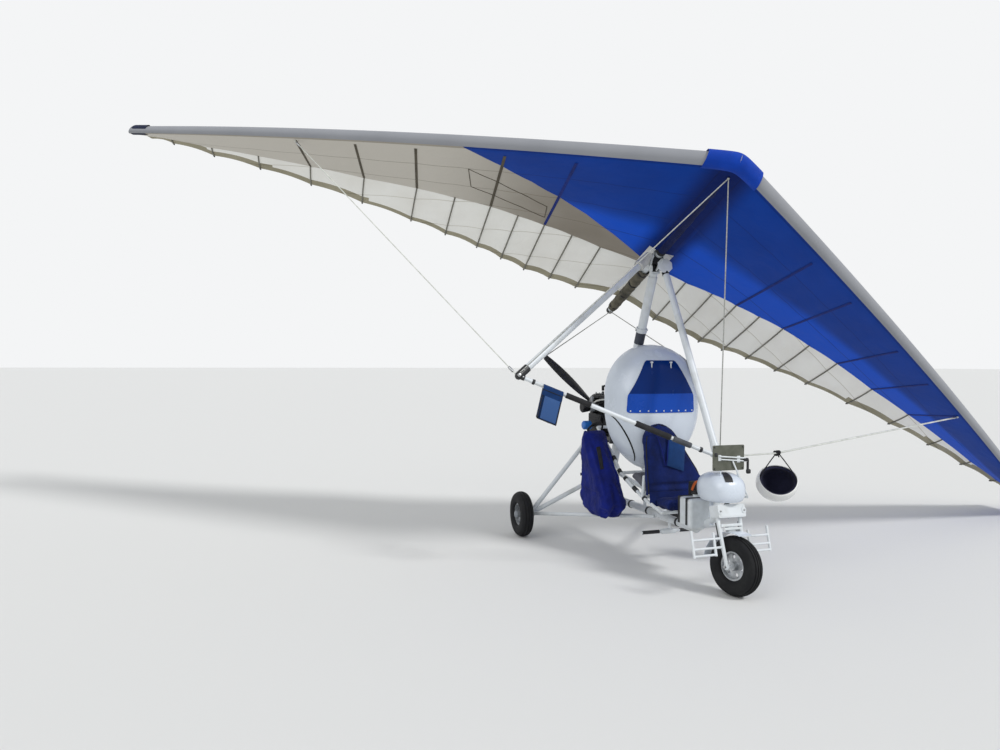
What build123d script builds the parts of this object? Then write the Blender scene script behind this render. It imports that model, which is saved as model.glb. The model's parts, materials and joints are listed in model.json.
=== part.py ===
"""Two-seat weight-shift microlight: a tricycle frame with its flexible wing parked on one side.

Millimetres, +Z up, nose towards -Y, the aircraft's right towards -X. The tricycle's pieces are drawn
about a datum on the ground under its centre line; the wing's pieces are drawn level about the hang
bolt and then laid over as the wing is parked.
"""
from build123d import *
import math
import os

# Ground and wheels
WHEEL_R = 200.0
TYRE_W = 108.0
RIM_R = 92.0
TRACK = 1612.0
AXLE_Y = 841.0
WHEELBASE = 2019.0
STUB_R = 10.0
RUN = 1.0  # running clearance of a turning or sliding fit
SEAT = 0.3  # between a piece and what it rests on, hangs from or is fastened to

# Tricycle frame
KEEL_R = 30.0
KEEL_Z = 345.0
KEEL_REAR_Y = 905.0
KEEL_BEND_Y = -700.0
TIE_Y = 882.0
TIE_R = 5.3
MAST_R = 36.0
MAST_SLEEVE_R = 40.0
MAST_FOOT_Y = 778.0
COLLAR_Z = 1830.0
STRUT_R = 20.0
DRAG_R = 16.0
SHELL_WALL = 5.0
RIM_Y = 20.0
FAIRING_W = 392.0
FAIRING_TOP = 1705.0

RAIL_X = 225.0
RAIL_R = 13.0

# Nose leg
RAKE = 15.0
STEER = 15.0
STEER_LIMIT = 30.0
LEG_R = 13.0
LEG_X = 100.0
YOKE_W = 270.0
YOKE_H = 88.0
YOKE_D = 74.0
YOKE_MID = 362.0
YOKE_WALL = 6.0
HEAD_R = 24.0
POD_Y = AXLE_Y - WHEELBASE + 175
POD_Z = 690.0
POD_FLOOR = 616.0
SCREEN_Y = POD_Y - 89
SCREEN_LOW = 800.0
SCREEN_W = 255.0
SCREEN_H = 200.0
SCREEN_T = 3.0
PIN_R = 8.0
GUARD_GAP = 22.0
GUARD_WALL = 3.0

# Wing, about the hang bolt
HANG_Y = -77.0
HANG_Z = 2315.0
WING_YAW = -7.5
WING_PITCH = -16.8
WING_ROLL = 22.9
WING_KEEL_Z = 75.0
WING_KEEL_R = 27.5
NOSE_Y = -1417.0
EDGE_Z = 95.0
SWEEP = 61.5
EDGE_LEN = 5494.0
EDGE_RISE = 0.0071
BOW_BACK = 190.0
BOW_DOWN = 94.0
EDGE_R = 58.0
EDGE_R_TIP = 44.0
SKIN = 5.0
ROOT_X = 34.0
CAP_X = 200.0
CAP_BACK = 60.0
CAP_WALL = 6.0
ROOT_LIFT = 37.0
MIDDLE_SAG = 156.0
SAG_X = 910.0
KEEL_END_Y = 1112.0
BAR_W = 1520.0
HALF = BAR_W / 2
BAR_X = 29.0  # the parked control frame stands this far to the left of the wing's middle
BAR_Y = -360.0
BAR_Z = -1400.0
BAR_R = 14.0
BAR_SLEEVE_R = 16.0
BALL_R = 9.0
CORNER_R = 27.0
UPRIGHT_R = 26.0
APEX_Y = -78.0
PLATE_X = 36.0
HEAD_DROP = 62.0
APEX_RING_R = 36.0
APEX_PIN_R = 7.0
CROSS_X = 3100.0
KINGPOST_H = 900.0
WIRE_R = 4.0

# Propeller and engine
PROP_Y = 1100.0
PROP_Z = 1172.0
PROP_R = 655.0
PROP_TURN = 42.0
HUB_R = 45.0
BEARER_Z = 885.0
SHAFT_R = 14.0

WHEEL_NOSE = (0.0, AXLE_Y - WHEELBASE, WHEEL_R)
HANG = (0.0, HANG_Y, HANG_Z)
# The row's origin lies on the ground under the middle of the whole aircraft's box
CENTRE_X = 217.0
CENTRE_Y = 671.0
FRAME = Location((-CENTRE_X, -CENTRE_Y, 0))


def rod(a, b, r):
    """Round bar between two points."""
    a, b = Vector(*a), Vector(*b)
    run = b - a
    return Plane(origin=a, z_dir=run) * Pos(0, 0, run.length / 2) * Cylinder(r, run.length)


def pipe(a, b, r, wall):
    """Tube between two points, open at both ends."""
    return rod(a, b, r) - rod(a, b, r - wall)


def slab(x0, x1, y0, y1, z0, z1, fillet_r=0.0):
    """Block by its limits, with all edges rounded where a radius is given."""
    b = Pos((x0 + x1) / 2, (y0 + y1) / 2, (z0 + z1) / 2) * Box(x1 - x0, y1 - y0, z1 - z0)
    return fillet(b.edges(), fillet_r) if fillet_r else b


def between(a, b, t):
    """The point a share t of the way from a to b."""
    return tuple(p + (q - p) * t for p, q in zip(a, b))


def mast_y(z):
    """Where the leaning mast's centre line stands at a height."""
    t = (z - KEEL_Z) / (HANG_Z - KEEL_Z)
    return MAST_FOOT_Y + (HANG_Y - MAST_FOOT_Y) * t


# Placings of the moving groups
WING = (
    Location(HANG)
    * Location((0, 0, 0), (0, 0, WING_YAW))
    * Location((0, 0, 0), (WING_PITCH, 0, 0))
    * Location((0, 0, WING_KEEL_Z))
    * Location((0, 0, 0), (0, WING_ROLL, 0))
    * Location((0, 0, -WING_KEEL_Z))
)
BLOCK = Location(HANG) * Location((0, 0, 0), (0, 0, WING_YAW)) * Location((0, 0, 0), (WING_PITCH, 0, 0))
YOKE_HEAD = Location(HANG) * Location((0, 0, 0), (0, 0, WING_YAW))
LEG = Location(WHEEL_NOSE) * Location((0, 0, 0), (-RAKE, 0, 0)) * Location((0, 0, 0), (0, 0, STEER))
PROP = Location((0, PROP_Y, PROP_Z)) * Location((0, 0, 0), (0, PROP_TURN, 0))


# Wheels, drawn about their own centre with the axle along X

def tyre():
    """Round-shouldered tyre, revolved about the axle."""
    crown, shoulder, bead = WHEEL_R, WHEEL_R - 26, RIM_R + 4
    w = TYRE_W / 2
    side = Polyline((bead, -w * 0.62), (bead + 20, -w), (shoulder, -w * 0.98))
    top = ThreePointArc((shoulder, -w * 0.98), (crown, 0), (shoulder, w * 0.98))
    back = Polyline((shoulder, w * 0.98), (bead + 20, w), (bead, w * 0.62), (bead, -w * 0.62))
    face = make_face(side + top + back)
    ring = revolve(Plane.XZ * face, Axis.Z)
    return Rot(0, 90, 0) * ring


def rim():
    """Cast wheel with a drilled disc and a long hub."""
    w = TYRE_W / 2 * 0.62
    seat = Cylinder(RIM_R + 3.7, 2 * w) - Cylinder(RIM_R - 6, 2 * w)
    disc = Cylinder(RIM_R - 5, 10)
    hub = Cylinder(30, 92)
    holes = [Rot(0, 0, a) * Pos(60, 0, 0) * Cylinder(13, 20) for a in range(0, 360, 60)]
    body = seat + disc + hub - holes - Cylinder(STUB_R + 0.3, 200)
    return Rot(0, 90, 0) * body


# Tricycle

def frame_keel():
    """Main tube along the bottom, bent up to the steering head."""
    head = steering_head()
    body = rod((0, KEEL_REAR_Y, KEEL_Z), (0, KEEL_BEND_Y, KEEL_Z), KEEL_R) + keel_rise()
    body -= Pos(0, TIE_Y, KEEL_Z) * Cylinder(TIE_R, 4 * KEEL_R)
    collar = head * Cylinder(HEAD_R, YOKE_H - 2 * YOKE_WALL - 2 * RUN)
    bore = head * Cylinder(PIN_R + 0.3, YOKE_H)
    return body + collar - bore


def mast():
    """Two-stage leaning tube from the keel to the hang yoke."""
    foot = (0, mast_y(KEEL_Z + KEEL_R), KEEL_Z + KEEL_R)
    top_z = HANG_Z - 62
    body = rod(foot, (0, mast_y(COLLAR_Z), COLLAR_Z), MAST_SLEEVE_R)
    body += rod((0, mast_y(COLLAR_Z - 5), COLLAR_Z - 5), (0, mast_y(top_z), top_z), MAST_R)
    keel = rod((0, KEEL_REAR_Y, KEEL_Z), (0, 0, KEEL_Z), KEEL_R + 0.05)
    return body - keel


def mast_head():
    """Forked fitting that carries the pitch bolt."""
    ears = [Pos(s * 31, 0, 0) * Box(8, 56, 56) for s in (-1, 1)]
    ears = [fillet(e.edges().filter_by(Axis.X), 20) for e in ears]
    web = Pos(0, 0, -35) * Box(70, 56, 14)
    stem = YOKE_HEAD.inverse() * rod((0, mast_y(HANG_Z - 62), HANG_Z - 62), (0, mast_y(HANG_Z - 34), HANG_Z - 34), 30)
    bolt = Rot(0, 90, 0) * Cylinder(6, 86)
    return YOKE_HEAD * (ears[0] + ears[1] + web + stem + bolt)


def knuckle_at(side):
    """Middle of the casting that carries a main wheel's stub axle."""
    return (side * (TRACK / 2 - TYRE_W / 2 - 34), AXLE_Y, WHEEL_R)


def drag_strut(side, grow=0.0):
    """Long tube from a main wheel's knuckle forward to the keel."""
    return rod(knuckle_at(side), (side * 30, -150, KEEL_Z - 16), DRAG_R + grow)


def legs(side):
    """Three tubes that carry a main wheel: to the engine bearers, the mast and the keel."""
    hub = knuckle_at(side)
    x = hub[0]
    upper = rod((x, AXLE_Y, WHEEL_R + 10), (side * 150, AXLE_Y, BEARER_Z - 20), STRUT_R)
    z_low = 567.0
    lower = rod(hub, (side * 44, mast_y(z_low), z_low), STRUT_R)
    knuckle = Pos(*hub) * Rot(0, 90, 0) * Cylinder(27, 60)
    stub = rod((x, AXLE_Y, WHEEL_R), (side * (TRACK / 2 + 62), AXLE_Y, WHEEL_R), STUB_R)
    body = upper + lower + drag_strut(side) + knuckle + stub
    keel = rod((0, KEEL_REAR_Y, KEEL_Z), (0, KEEL_BEND_Y, KEEL_Z), KEEL_R + 0.05)
    post = rod((0, mast_y(KEEL_Z), KEEL_Z), (0, mast_y(COLLAR_Z), COLLAR_Z), MAST_SLEEVE_R + 0.05)
    return body - keel - post


def engine_bearers():
    """Two rails behind the mast with a cross tube for the upper legs."""
    front = mast_y(BEARER_Z)
    rails = [slab(s * 95 - 15, s * 95 + 15, front - 30, 1010, BEARER_Z - 15, BEARER_Z + 15) for s in (-1, 1)]
    cross = rod((-175, AXLE_Y, BEARER_Z - 32), (175, AXLE_Y, BEARER_Z - 32), 17)
    clamp = slab(-110, 110, front - 60, front - 30, BEARER_Z - 40, BEARER_Z + 40)
    back = slab(-110, 110, front + 44, front + 60, BEARER_Z - 40, BEARER_Z + 40)
    post = rod((0, mast_y(KEEL_Z), KEEL_Z), (0, mast_y(COLLAR_Z), COLLAR_Z), MAST_SLEEVE_R + 0.05)
    body = rails[0] + rails[1] + cross + clamp + back - post
    for s in (-1, 1):
        body -= legs(s)
    return body


def engine_case():
    """Crankcase with its starter drum, standing on the bearers."""
    floor = BEARER_Z + 15
    case = slab(-120, 120, 680, 930, floor, floor + 190, 14)
    drum = Pos(0, 665, floor + 110) * Rot(90, 0, 0) * Cylinder(92, 60)
    sump = slab(-70, 70, 700, 910, floor, floor + 20)
    return case + drum + sump


def engine_cylinders():
    """Two finned barrels with heads and plugs."""
    base = BEARER_Z + 15 + 190
    body = None
    for y in (745, 865):
        barrel = Pos(0, y, base + 70) * Cylinder(42, 140)
        for k in range(8):
            fin = Pos(0, y, base + 16 + 15 * k) * Box(150, 108, 4)
            barrel += fillet(fin.edges().filter_by(Axis.Z), 20)
        head = Pos(0, y, base + 152) * Box(140, 104, 30)
        barrel += fillet(head.edges(), 7)
        barrel += Pos(0, y, base + 180) * Cylinder(11, 40)
        body = barrel if body is None else body + barrel
    return body


def reduction_drive():
    """Belt casing between the crank and the propeller shaft."""
    low, high = BEARER_Z + 15 + 95, PROP_Z
    y0, y1 = 930.3, 985
    mid = (y0 + y1) / 2
    case = Pos(0, mid, low) * Rot(90, 0, 0) * Cylinder(74, y1 - y0)
    case += Pos(0, mid, high) * Rot(90, 0, 0) * Cylinder(96, y1 - y0)
    case += Pos(0, mid, (low + high) / 2) * Box(150, y1 - y0, high - low)
    shaft = rod((0, y1 - 5, high), (0, PROP_Y - 30 - RUN, high), SHAFT_R + 8)
    pin = rod((0, y1 - 5, high), (0, PROP_Y + 28, high), SHAFT_R)
    return case + shaft + pin


def exhaust():
    """Silencer on the left of the engine with its down pipe and tail."""
    body = rod((205, 620, 985), (205, 1000, 985), 52)
    body = fillet(body.edges(), 12)
    body += rod((120.3, 760, 1010), (180, 760, 1010), 20)
    body += rod((205, 985, 985), (240, 1040, 930), 14)
    return body


def blade():
    """One blade along +X with twist and taper, drawn about the hub's middle."""
    # radius, chord, thickness, pitch angle
    stations = [(40, 50, 28, 42), (190, 82, 17, 27), (430, 88, 11, 15), (PROP_R, 52, 5, 9)]
    faces = []
    for r, chord, thick, angle in stations:
        top = ThreePointArc((-chord / 2, 0), (-chord * 0.1, thick / 2), (chord / 2, 0))
        under = ThreePointArc((chord / 2, 0), (0, -thick / 2), (-chord / 2, 0))
        f = make_face(top + under)
        faces.append(Plane(origin=(r, 0, 0), x_dir=(0, 0, 1), z_dir=(1, 0, 0)) * Rot(0, 0, angle) * f)
    return loft(faces)


def propeller():
    """Hub with its bolts and two blades."""
    hub = Rot(90, 0, 0) * Cylinder(HUB_R, 56)
    one = blade()
    two = one.rotate(Axis.Y, 180)
    body = hub + one + two
    for k in range(6):
        a = math.radians(60 * k + 30)
        body += Pos(30 * math.cos(a), 30, 30 * math.sin(a)) * Rot(90, 0, 0) * Cylinder(5, 12)
    return PROP * (body - Rot(90, 0, 0) * Cylinder(SHAFT_R + 0.3, 120))


# Nose leg group, drawn about the wheel's centre with the steering axis along Z

def leg_x(z):
    """Distance of a fork leg's centre line from the middle at a height over the axle."""
    foot, top = (LEG_X - 14, -10), (LEG_X + 12, YOKE_MID - YOKE_H / 2 + 6)
    return foot[0] + (top[0] - foot[0]) * (z - foot[1]) / (top[1] - foot[1])


def fork():
    """Open-fronted yoke, two legs and the axle of the nose wheel."""
    low = YOKE_MID - YOKE_H / 2
    box = Pos(0, 0, YOKE_MID) * Box(YOKE_W, YOKE_D, YOKE_H)
    box = fillet(box.edges().filter_by(Axis.Y), 12)
    inner = Pos(0, YOKE_WALL, YOKE_MID) * Box(YOKE_W - 2 * YOKE_WALL, YOKE_D, YOKE_H - 2 * YOKE_WALL)
    body = box - inner
    body += Pos(0, 0, YOKE_MID) * Cylinder(PIN_R, YOKE_H + 18)
    for s in (-1, 1):
        foot, top = (s * (LEG_X - 14), 0, -10), (s * (LEG_X + 12), 0, low + 6)
        body += rod(foot, top, LEG_R)
        body += Pos(s * (LEG_X - 13), 0, 0) * Rot(0, 90, 0) * Cylinder(21, 12)
    w_bar = 268
    body += slab(-LEG_X - 4, LEG_X + 4, -22, 22, w_bar - 9, w_bar + 9)
    body += rod((-LEG_X, 0, 0), (LEG_X, 0, 0), STUB_R)
    body += slab(-30, 30, -15, 15, WHEEL_R + GUARD_GAP + GUARD_WALL + 0.3, 265)
    return body


def mudguard():
    """Curved guard over the front of the nose wheel."""
    r, wall, w = WHEEL_R + GUARD_GAP, GUARD_WALL, 126
    ring = Rot(0, 90, 0) * (Cylinder(r + wall, w) - Cylinder(r, w))
    a0, a1 = math.radians(-32), math.radians(70)
    far = 2 * r
    wedge = make_face(
        Polyline(
            (0, 0),
            (far * math.sin(a0), far * math.cos(a0)),
            (0, 1.6 * far),
            (far * math.sin(a1), far * math.cos(a1)),
            (0, 0),
        )
    )
    prism = Pos(-w, 0, 0) * extrude(Plane.YZ * wedge, 2 * w)
    return ring & prism


def footrests():
    """A ladder-shaped rest outboard of each leg."""
    inner, outer = LEG_X + 72, LEG_X + 276
    rungs = (84.0, 128.0, 186.0)
    rung_r = 8.0
    top = 248.0
    bodies = []
    for s in (-1, 1):
        b = rod((s * outer, 0, rungs[0] - 10), (s * outer, 0, top), 9)
        b += rod((s * inner, 0, rungs[0] - 10), (s * inner, 0, top - 20), 9)
        for z in rungs:
            near = s * (leg_x(z + rung_r) + LEG_R + SEAT) if z > rungs[0] else s * inner
            b += rod((near, 0, z), (s * outer, 0, z), rung_r)
        bodies.append(b)
    return bodies


# Seats, fairing, tank and bags

def steering_head():
    """Middle of the steering head, with its axis along Z."""
    return Location(WHEEL_NOSE) * Location((0, 0, 0), (-RAKE, 0, 0)) * Pos(0, 0, YOKE_MID)


# y, z of the corners of the seats' side rails, rear to front
RAIL = [(500, 992), (220, 800), (60, 655), (-313, 520), (-600, 455)]


# Front seat's back: foot, thickness and lean
BACK_FOOT = (0.0, -398.0, 536.0)
BACK_T = 70.0
BACK_LEAN = 6.0
HOOP_UP = 150.0


def back_hoop():
    """y and z of the tube that the front seat's back leans on."""
    lean = math.radians(BACK_LEAN)
    out = BACK_T / 2 + RAIL_R + SEAT
    y = BACK_FOOT[1] + out * math.cos(lean) + HOOP_UP * math.sin(lean)
    z = BACK_FOOT[2] - out * math.sin(lean) + HOOP_UP * math.cos(lean)
    return y, z


def seat_frame():
    """Side rails from the mast to the front of the seats, their cross tubes and posts."""
    body = None
    for s in (-1, 1):
        for a, b in zip(RAIL[:-1], RAIL[1:]):
            run = rod((s * RAIL_X, *a), (s * RAIL_X, *b), RAIL_R) + Pos(s * RAIL_X, *b) * Sphere(RAIL_R)
            body = run if body is None else body + run
    for y, z in (RAIL[0], *RAIL[2:]):
        body += rod((-RAIL_X, y, z), (RAIL_X, y, z), RAIL_R)
    for y, z in RAIL[2:]:
        body += rod((0, y, KEEL_Z + KEEL_R - 4), (0, y, z), RAIL_R)
    # hoop behind the front seat's back
    y, z = back_hoop()
    body += rod((-RAIL_X, y, z), (RAIL_X, y, z), RAIL_R)
    for s in (-1, 1):
        body += rod((s * RAIL_X, *RAIL[3]), (s * RAIL_X, y, z), RAIL_R) + Pos(s * RAIL_X, y, z) * Sphere(RAIL_R)
    # short post that the fairing's foot stands on
    y, z = RAIL[2]
    body += rod((0, y, z), (0, RIM_Y - 120, z + 105), RAIL_R) - fairing_body(SEAT)
    post = rod((0, mast_y(KEEL_Z), KEEL_Z), (0, mast_y(COLLAR_Z), COLLAR_Z), MAST_SLEEVE_R + 0.05)
    keel = rod((0, KEEL_REAR_Y, KEEL_Z), (0, KEEL_BEND_Y, KEEL_Z), KEEL_R + 0.05)
    return body - post - keel


def rear_seat():
    """Cushion lying on the cross tubes under the fairing."""
    (y1, z1), (y0, z0) = RAIL[2], RAIL[3]
    tilt = math.degrees(math.atan2(z1 - z0, y1 - y0))
    front, rear = 1.06, 0.25
    half = (front - rear) / 2 * math.hypot(y1 - y0, z1 - z0)
    mid = between((0, y1, z1), (0, y0, z0), (front + rear) / 2)
    w = RAIL_X - RAIL_R - 12
    return Pos(*mid) * Rot(tilt, 0, 0) * slab(-w, w, -half, half, RAIL_R + SEAT, RAIL_R + 54, 20)


def front_seat():
    """Upright back whose round top slumps to one side, and a short cushion."""
    face = make_face(
        Polyline((-255, 0), (-262, 400))
        + ThreePointArc((-262, 400), (-222, 530), (-126, 573))
        + ThreePointArc((-126, 573), (-30, 550), (49, 474))
        + Polyline((49, 474), (256, 138), (256, 0), (-255, 0))
    )
    back = extrude(Plane.XZ * face, BACK_T / 2, both=True)
    back = fillet(back.faces().sort_by(Axis.Y)[0].edges() + back.faces().sort_by(Axis.Y)[-1].edges(), 20)
    back = Pos(*BACK_FOOT) * Rot(-BACK_LEAN, 0, 0) * back
    front_y, tube_z = RAIL[-1]
    low, pan_w = tube_z + RAIL_R + SEAT, RAIL_X - RAIL_R - 7
    pan = slab(-pan_w, pan_w, front_y - 40, BACK_FOOT[1] - BACK_T / 2 - 10, low, low + 74, 22)
    return back + pan


def egg(scale, y):
    """Outline of the fairing at a depth: round top, straight sides, drawn-in foot."""
    w, z_side, z_foot, r_foot = FAIRING_W, 1200.0, 690.0, 250.0
    z_top = FAIRING_TOP - w
    r_side = (w * w + (z_side - z_foot - r_foot) ** 2 - r_foot ** 2) / (2 * (w - r_foot))
    zc = z_foot + r_foot
    # where the side arc passes into the foot arc, both about centres in line
    dx, dz = -(r_side - w), z_side - zc
    n = math.hypot(dx, dz)
    tx, tz = -dx / n * r_foot, zc - dz / n * r_foot
    mid_a = math.atan2(tz - z_side, tx + (r_side - w)) / 2
    mx, mz = -(r_side - w) + r_side * math.cos(mid_a), z_side + r_side * math.sin(mid_a)
    c = (0.0, 1215.0)

    def p(x, z):
        return (c[0] + (x - c[0]) * scale, c[1] + (z - c[1]) * scale)

    line = (
        ThreePointArc(p(-w, z_top), p(0, z_top + w), p(w, z_top))
        + Line(p(w, z_top), p(w, z_side))
        + ThreePointArc(p(w, z_side), p(mx, mz), p(tx, tz))
        + ThreePointArc(p(tx, tz), p(0, z_foot), p(-tx, tz))
        + ThreePointArc(p(-tx, tz), p(-mx, mz), p(-w, z_side))
        + Line(p(-w, z_side), p(-w, z_top))
    )
    return Plane.XZ.offset(-y) * make_face(line)


# Depth of each of the fairing's sections and its share of the rim's outline
EGG_DEPTH = [(RIM_Y, 1.0), (RIM_Y - 90, 0.98), (RIM_Y - 185, 0.91), (RIM_Y - 255, 0.77), (RIM_Y - 300, 0.55)]


def fairing_body(grow=0.0):
    """Solid form of the fairing, drawn from its rim forward in flat-sided steps."""
    faces = [egg(s + grow / FAIRING_W, y - (grow if k else 0)) for k, (y, s) in enumerate(EGG_DEPTH)]
    return loft(faces, ruled=True)


def fairing():
    """Moulded screen fairing that stands on the rear seat against the mast, open to the rear."""
    outer = fairing_body()
    inner = Pos(0, SHELL_WALL, 0) * fairing_body(-SHELL_WALL)
    shell = outer - inner - slab(-500, 500, RIM_Y - 0.1, RIM_Y + 100, 600, 1800)
    post = rod((0, mast_y(KEEL_Z), KEEL_Z), (0, mast_y(COLLAR_Z), COLLAR_Z), MAST_SLEEVE_R + 0.3)
    lug_z = FAIRING_TOP - 18
    lug = slab(-22, 22, RIM_Y - 12, mast_y(lug_z), lug_z - 15, lug_z + 15) - post
    return shell + lug


def fairing_window():
    """Tinted screen riveted on the fairing's front."""
    face = make_face(
        Polyline((-129, 1575), (129, 1575), (281, 1303), (287, 1166), (-287, 1166), (-281, 1303), (-129, 1575))
    )
    prism = extrude(Plane.XZ.offset(60) * face, 400, both=True) & slab(-400, 400, -400, 100, 1000, 1700)
    return (fairing_body(3.5) - fairing_body(0.3)) & prism


# Outline of the bag beside the rear seat: y, z
BAG = [(-103, 385), (-103, 462), (22, 658), (180, 853), (285, 985), (350, 1005), (390, 930), (420, 840), (420, 400),
       (330, 305), (180, 280), (0, 290)]
BAG_OUT = 440.0


def pannier():
    """Soft bag on the right of the rear seat, cut to the slope of the seat's rail."""
    inner = RAIL_X + RAIL_R + SEAT
    side = make_face(Polyline(*BAG, BAG[0]))
    side = fillet(side.vertices(), 24)
    bag = extrude(Plane.YZ.offset(-BAG_OUT) * side, BAG_OUT - inner)
    faces = bag.faces().sort_by(Axis.X)
    bag = fillet(faces[0].edges() + faces[-1].edges(), 22)
    return bag - fairing_body(2.0) - drag_strut(-1, 3.0)


def keel_rise(grow=0.0):
    """The keel's front stretch, from its bend up to the steering head."""
    end = steering_head().position
    bend = (0, KEEL_BEND_Y, KEEL_Z)
    return rod(bend, (0, end.Y, end.Z), KEEL_R * 0.86 + grow) + Pos(*bend) * Sphere(KEEL_R + grow)


def tank():
    """Moulded fuel tank astride the keel between the front seat and the nose."""
    rear = KEEL_BEND_Y + 45
    front = KEEL_BEND_Y - 0.351 * (KEEL_BEND_Y - steering_head().position.Y)
    top = 590.0
    t = slab(-135, 125, front, rear, KEEL_Z + KEEL_R + SEAT, top, 24)
    neck = Pos(-30, (front + rear) / 2, top + 6) * Cylinder(24, 24)
    return t + neck - keel_rise(0.4)


def pod():
    """Small nose pod on a post from the keel, flat below to clear the steering yoke."""
    e = Pos(0, POD_Y, POD_Z) * scale(Sphere(1), by=(142, 168, 118))
    e = e & slab(-300, 300, POD_Y - 300, POD_Y + 300, POD_FLOOR, 900)
    y = POD_Y + 111
    post = rod((0, y, KEEL_Z), (0, y, POD_FLOOR + 20), 14) - keel_rise(0.4)
    post = post & slab(-50, 50, y - 50, y + 50, KEEL_Z + 70, 900)
    y = SCREEN_Y + SCREEN_T / 2 + SEAT + 5
    feet = [rod((x, y, POD_Z + 40), (x, y, SCREEN_LOW + 20), 5) for x in (-60, 75)]
    return e + post + feet[0] + feet[1]


def screen():
    """Small smoked panel in front of the bar's left end."""
    return Pos(8, SCREEN_Y, SCREEN_LOW + SCREEN_H / 2) * Box(SCREEN_W, SCREEN_T, SCREEN_H)


def peg_bar():
    """Cross bar for the rear occupant's feet, under the keel."""
    b = rod((-240, -330, 250), (240, -330, 250), 10)
    b += rod((-80, -330, 250), (60, -330, 250), 15)
    b += rod((0, -330, 250), (0, -330, KEEL_Z - KEEL_R + 6), 12)
    return b - rod((0, KEEL_REAR_Y, KEEL_Z), (0, KEEL_BEND_Y, KEEL_Z), KEEL_R + 0.05)


# Hang block, drawn about the hang bolt

def hang_block():
    """Block on the pitch bolt with the ring that the wing's keel turns in."""
    ring = Pos(0, 0, WING_KEEL_Z) * Rot(90, 0, 0) * Cylinder(WING_KEEL_R + 9, 76)
    arm = Pos(0, 0, (WING_KEEL_Z - 20) / 2) * Box(52, 52, WING_KEEL_Z + 14)
    boss = Rot(0, 90, 0) * Cylinder(21, 52)
    body = ring + arm + boss
    body -= Pos(0, 0, WING_KEEL_Z) * Rot(90, 0, 0) * Cylinder(WING_KEEL_R + RUN, 200)
    body -= Rot(0, 90, 0) * Cylinder(6 + 0.3, 200)
    low = Pos(0, 0, -60) * Box(200, 200, 70)
    return BLOCK * (body - low)


# Wing

def edge(x):
    """Centre of the leading edge at a distance from the middle: y, z and radius."""
    s = x / math.sin(math.radians(SWEEP))
    t = (s / EDGE_LEN) ** 2
    y = NOSE_Y + s * math.cos(math.radians(SWEEP)) + BOW_BACK * t
    z = EDGE_Z + s * EDGE_RISE - BOW_DOWN * t
    return y, z, EDGE_R + (EDGE_R_TIP - EDGE_R) * s / EDGE_LEN


# Distance out, trailing edge y, share of the chord with a lower surface, camber share of the chord
STATIONS = [
    (ROOT_X, 885, 0.660, 0.050),
    (400, 1015, 0.660, 0.052),
    (910, 1110, 0.655, 0.056),
    (1400, 1095, 0.645, 0.060),
    (2070, 1155, 0.665, 0.064),
    (2570, 1235, 0.705, 0.066),
    (3100, 1325, 0.730, 0.066),
    (3640, 1450, 0.765, 0.064),
    (4150, 1600, 0.810, 0.060),
    (4600, 1710, 0.860, 0.050),
    (4850, 1800, 0.900, 0.040),
]


def tail_z(x):
    """Height of the trailing edge: it rests on the keel in the middle and twists up to the tips."""
    m = x / 1000
    return EDGE_Z - 20 + 49 * m - 3.8 * m * m + ROOT_LIFT * max(0.0, 1 - 2 * m)


def station(x):
    """Trailing edge y, share and camber at a distance out, drawn straight between the stations."""
    for a, b in zip(STATIONS[:-1], STATIONS[1:]):
        if x <= b[0]:
            t = (x - a[0]) / (b[0] - a[0])
            return [p + (q - p) * t for p, q in zip(a[1:], b[1:])]
    return list(STATIONS[-1][1:])


def section(x, grow=0.0):
    """Closed profile of the sail: round nose, arched top, lower surface, thin tail."""
    y_tail, share, camber = station(max(abs(x), ROOT_X))
    y0, z0, r = edge(abs(x))
    chord = y_tail - y0
    rise = (tail_z(abs(x)) - z0) / chord
    h, r = camber * chord, r + grow

    def at(t, up):
        return (y0 + t * chord, z0 + t * chord * rise + up)

    hump = at(share, r * (1 - share) + h * 0.86)
    under = (hump[0], hump[1] - SKIN)
    sag = MIDDLE_SAG * max(0.0, 1 - abs(x) / SAG_X) ** 1.5
    low = (under[0], under[1] - sag - 0.5)
    tail_top, tail_low = at(1.0, SKIN / 2), at(1.0, -SKIN / 2)
    top, nose, bottom = at(0, r), at(-r / chord, 0), at(0, -r)
    line = (
        ThreePointArc(bottom, nose, top)
        + ThreePointArc(top, at(0.30, r + h), hump)
        + Polyline(hump, tail_top, tail_low, under, low, bottom)
    )
    return Plane(origin=(x, 0, 0), x_dir=(0, 1, 0), z_dir=(1, 0, 0)) * make_face(line)


def hollow(x):
    """Profile of the space inside the double surface, one skin in from the outside."""
    y_tail, share, camber = station(abs(x))
    y0, z0, r = edge(abs(x))
    chord = y_tail - y0
    rise = (tail_z(abs(x)) - z0) / chord
    h, wall = camber * chord, SKIN

    def at(t, up):
        return (y0 + t * chord, z0 + t * chord * rise + up)

    back = share - 0.16
    t = back / share
    floor = -r + t * (r * (2 - share) + h * 0.86 - SKIN - MIDDLE_SAG * max(0.0, 1 - abs(x) / SAG_X) ** 1.5)
    roof = r * (1 - back) + h * 0.93
    line = (
        ThreePointArc(at(0, -r + wall), at(-(r - wall) / chord, 0), at(0, r - wall))
        + ThreePointArc(at(0, r - wall), at(0.28, r * 0.9 + h * 0.95 - wall), at(back, roof - wall))
        + Polyline(at(back, roof - wall), at(back, floor + wall), at(0, -r + wall))
    )
    return Plane(origin=(x, 0, 0), x_dir=(0, 1, 0), z_dir=(1, 0, 0)) * make_face(line)


def hang_cut():
    """Opening in the lower surface for the hang bracket and the uprights."""
    return slab(-100, 100, -150, 400, -200, WING_KEEL_Z + 46)


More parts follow.
